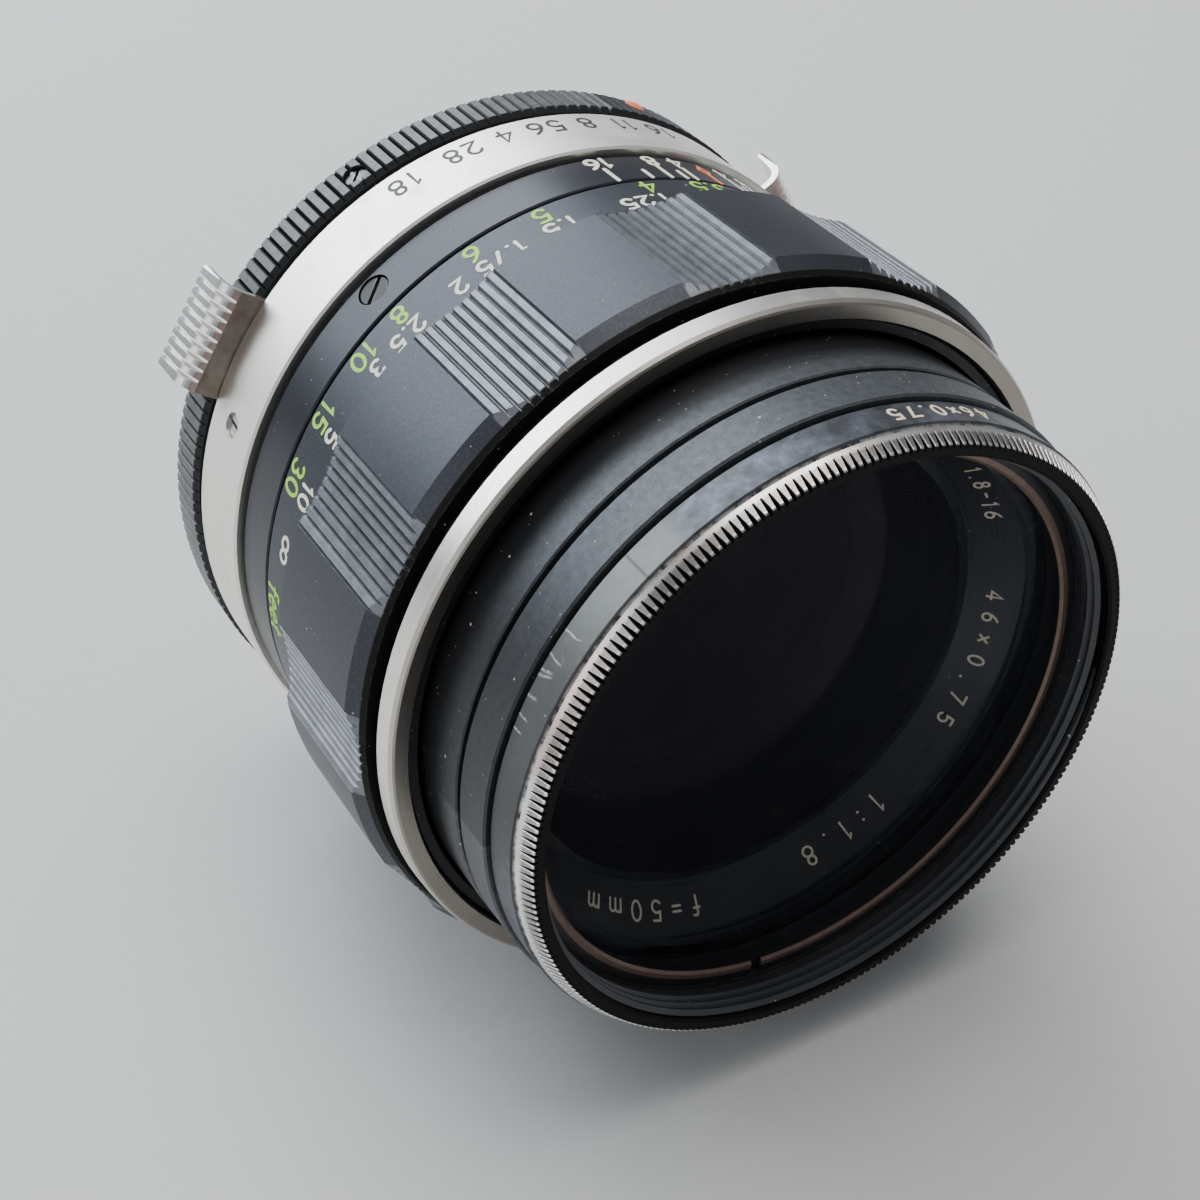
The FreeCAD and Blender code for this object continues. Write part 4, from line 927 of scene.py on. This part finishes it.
# ---------------------------------------------------------------------------
# fine thread inside the filter ring
# ---------------------------------------------------------------------------
def filter_thread():
    rear, front, pitch, depth = 48.78, 51.02, 0.75, 0.34
    crest_half, root_half = 0.07, 0.34      # half widths of the ridge along the axis
    root_r = BORE_R + 0.02                  # sunk a little into the ring
    segments = 220                          # in one turn
    fade_steps = 40.0                       # steps over which each end dies away
    total = int(segments * ((front - rear) / pitch))
    verts, faces = [], []
    for i in range(total + 1):
        turns = i / segments
        h = rear + pitch * turns
        fade = min(1.0, i / fade_steps, (total - i) / fade_steps)
        crest_r = BORE_R - depth * max(0.02, fade)
        for r, offset in ((root_r, -root_half), (crest_r, -crest_half),
                          (crest_r, crest_half), (root_r, root_half)):
            verts.append(at(r, 360.0 * turns, h + offset))
    for i in range(total):
        here, ahead = 4 * i, 4 * (i + 1)
        for k in range(3):
            faces.append((here + k, here + k + 1, ahead + k + 1, ahead + k))
        faces.append((here + 3, here, ahead, ahead + 3))
    last = 4 * total
    faces.append((0, 1, 2, 3))
    faces.append((last + 3, last + 2, last + 1, last))
    mesh_piece("filter_thread", verts, faces, materials["bezel"], "filter")


index_dot()
filter_thread()


# ---------------------------------------------------------------------------
# floor, lights, world and camera; places and sizes in metres
# ---------------------------------------------------------------------------
def floor():
    """Pale floor under the lens, see-through from below."""
    half, level = 4.0, cad_lo.z
    corners = [(-half, -half, level), (half, -half, level), (half, half, level),
               (-half, half, level)]
    mesh = bpy.data.meshes.new("floor")
    mesh.from_pydata(corners, [], [(0, 1, 2, 3)])
    piece = bpy.data.objects.new("floor", mesh)
    bpy.context.scene.collection.objects.link(piece)
    graph = Graph("floor_pale")
    colour = graph.mix(graph.noise(0.9), (0.60, 0.60, 0.595), (0.64, 0.64, 0.635))
    above = graph.principled(base=colour, rough=0.85, spec=0.2)
    below = graph.node("ShaderNodeBsdfTransparent")
    backfacing = graph.node("ShaderNodeNewGeometry").output("Backfacing")
    mesh.materials.append(graph.finish(
        graph.node("ShaderNodeMixShader", {0: backfacing, 1: above, 2: below})))


def area_light(name, place, size, watts, colour):
    """Rectangular light aimed at the middle of the lens."""
    light = bpy.data.lights.new(name, "AREA")
    light.shape = "RECTANGLE"
    light.size, light.size_y = size
    light.energy = watts
    light.color = colour
    lamp = bpy.data.objects.new(name, light)
    bpy.context.scene.collection.objects.link(lamp)
    lamp.location = place
    aim = (cad_lo + cad_hi) / 2 - Vector(place)
    lamp.rotation_mode = "QUATERNION"
    lamp.rotation_quaternion = aim.to_track_quat("-Z", "Y")


def sky(colour, strength):
    world = bpy.data.worlds.new("studio")
    bpy.context.scene.world = world
    world.use_nodes = True
    background = world.node_tree.nodes["Background"]
    background.inputs[0].default_value = (*colour, 1)
    background.inputs[1].default_value = strength


def camera(place, right, up, back, focal_mm):
    """Camera whose own X, Y and Z axes are right, up and back."""
    data = bpy.data.cameras.new("camera")
    data.sensor_width = 36.0
    data.sensor_fit = "HORIZONTAL"
    data.lens = focal_mm
    data.clip_start, data.clip_end = 0.01, 20.0
    holder = bpy.data.objects.new("camera", data)
    bpy.context.scene.collection.objects.link(holder)
    turn = Matrix((right, up, back)).transposed()
    holder.matrix_world = Matrix.Translation(place) @ turn.to_4x4()
    bpy.context.scene.camera = holder


floor()
area_light("back_softbox", place=(-0.14, 0.55, 0.40), size=(0.85, 0.42), watts=7.0,
           colour=(0.84, 0.92, 1.0))
area_light("top_softbox", place=(0.05, 0.05, 0.80), size=(0.7, 0.7), watts=6.0,
           colour=(1.0, 0.98, 0.95))
area_light("left_fill", place=(-0.70, -0.10, 0.30), size=(0.5, 0.5), watts=1.2,
           colour=(0.95, 0.97, 1.0))
sky(colour=(0.80, 0.84, 0.90), strength=0.30)
camera(place=(-0.06587, -0.13212, 0.09167),
       right=Vector((0.86515, -0.50152, 0.00038)),
       up=Vector((0.30372, 0.52455, 0.79536)),
       back=Vector((-0.39910, -0.68799, 0.60613)),
       focal_mm=60.78)
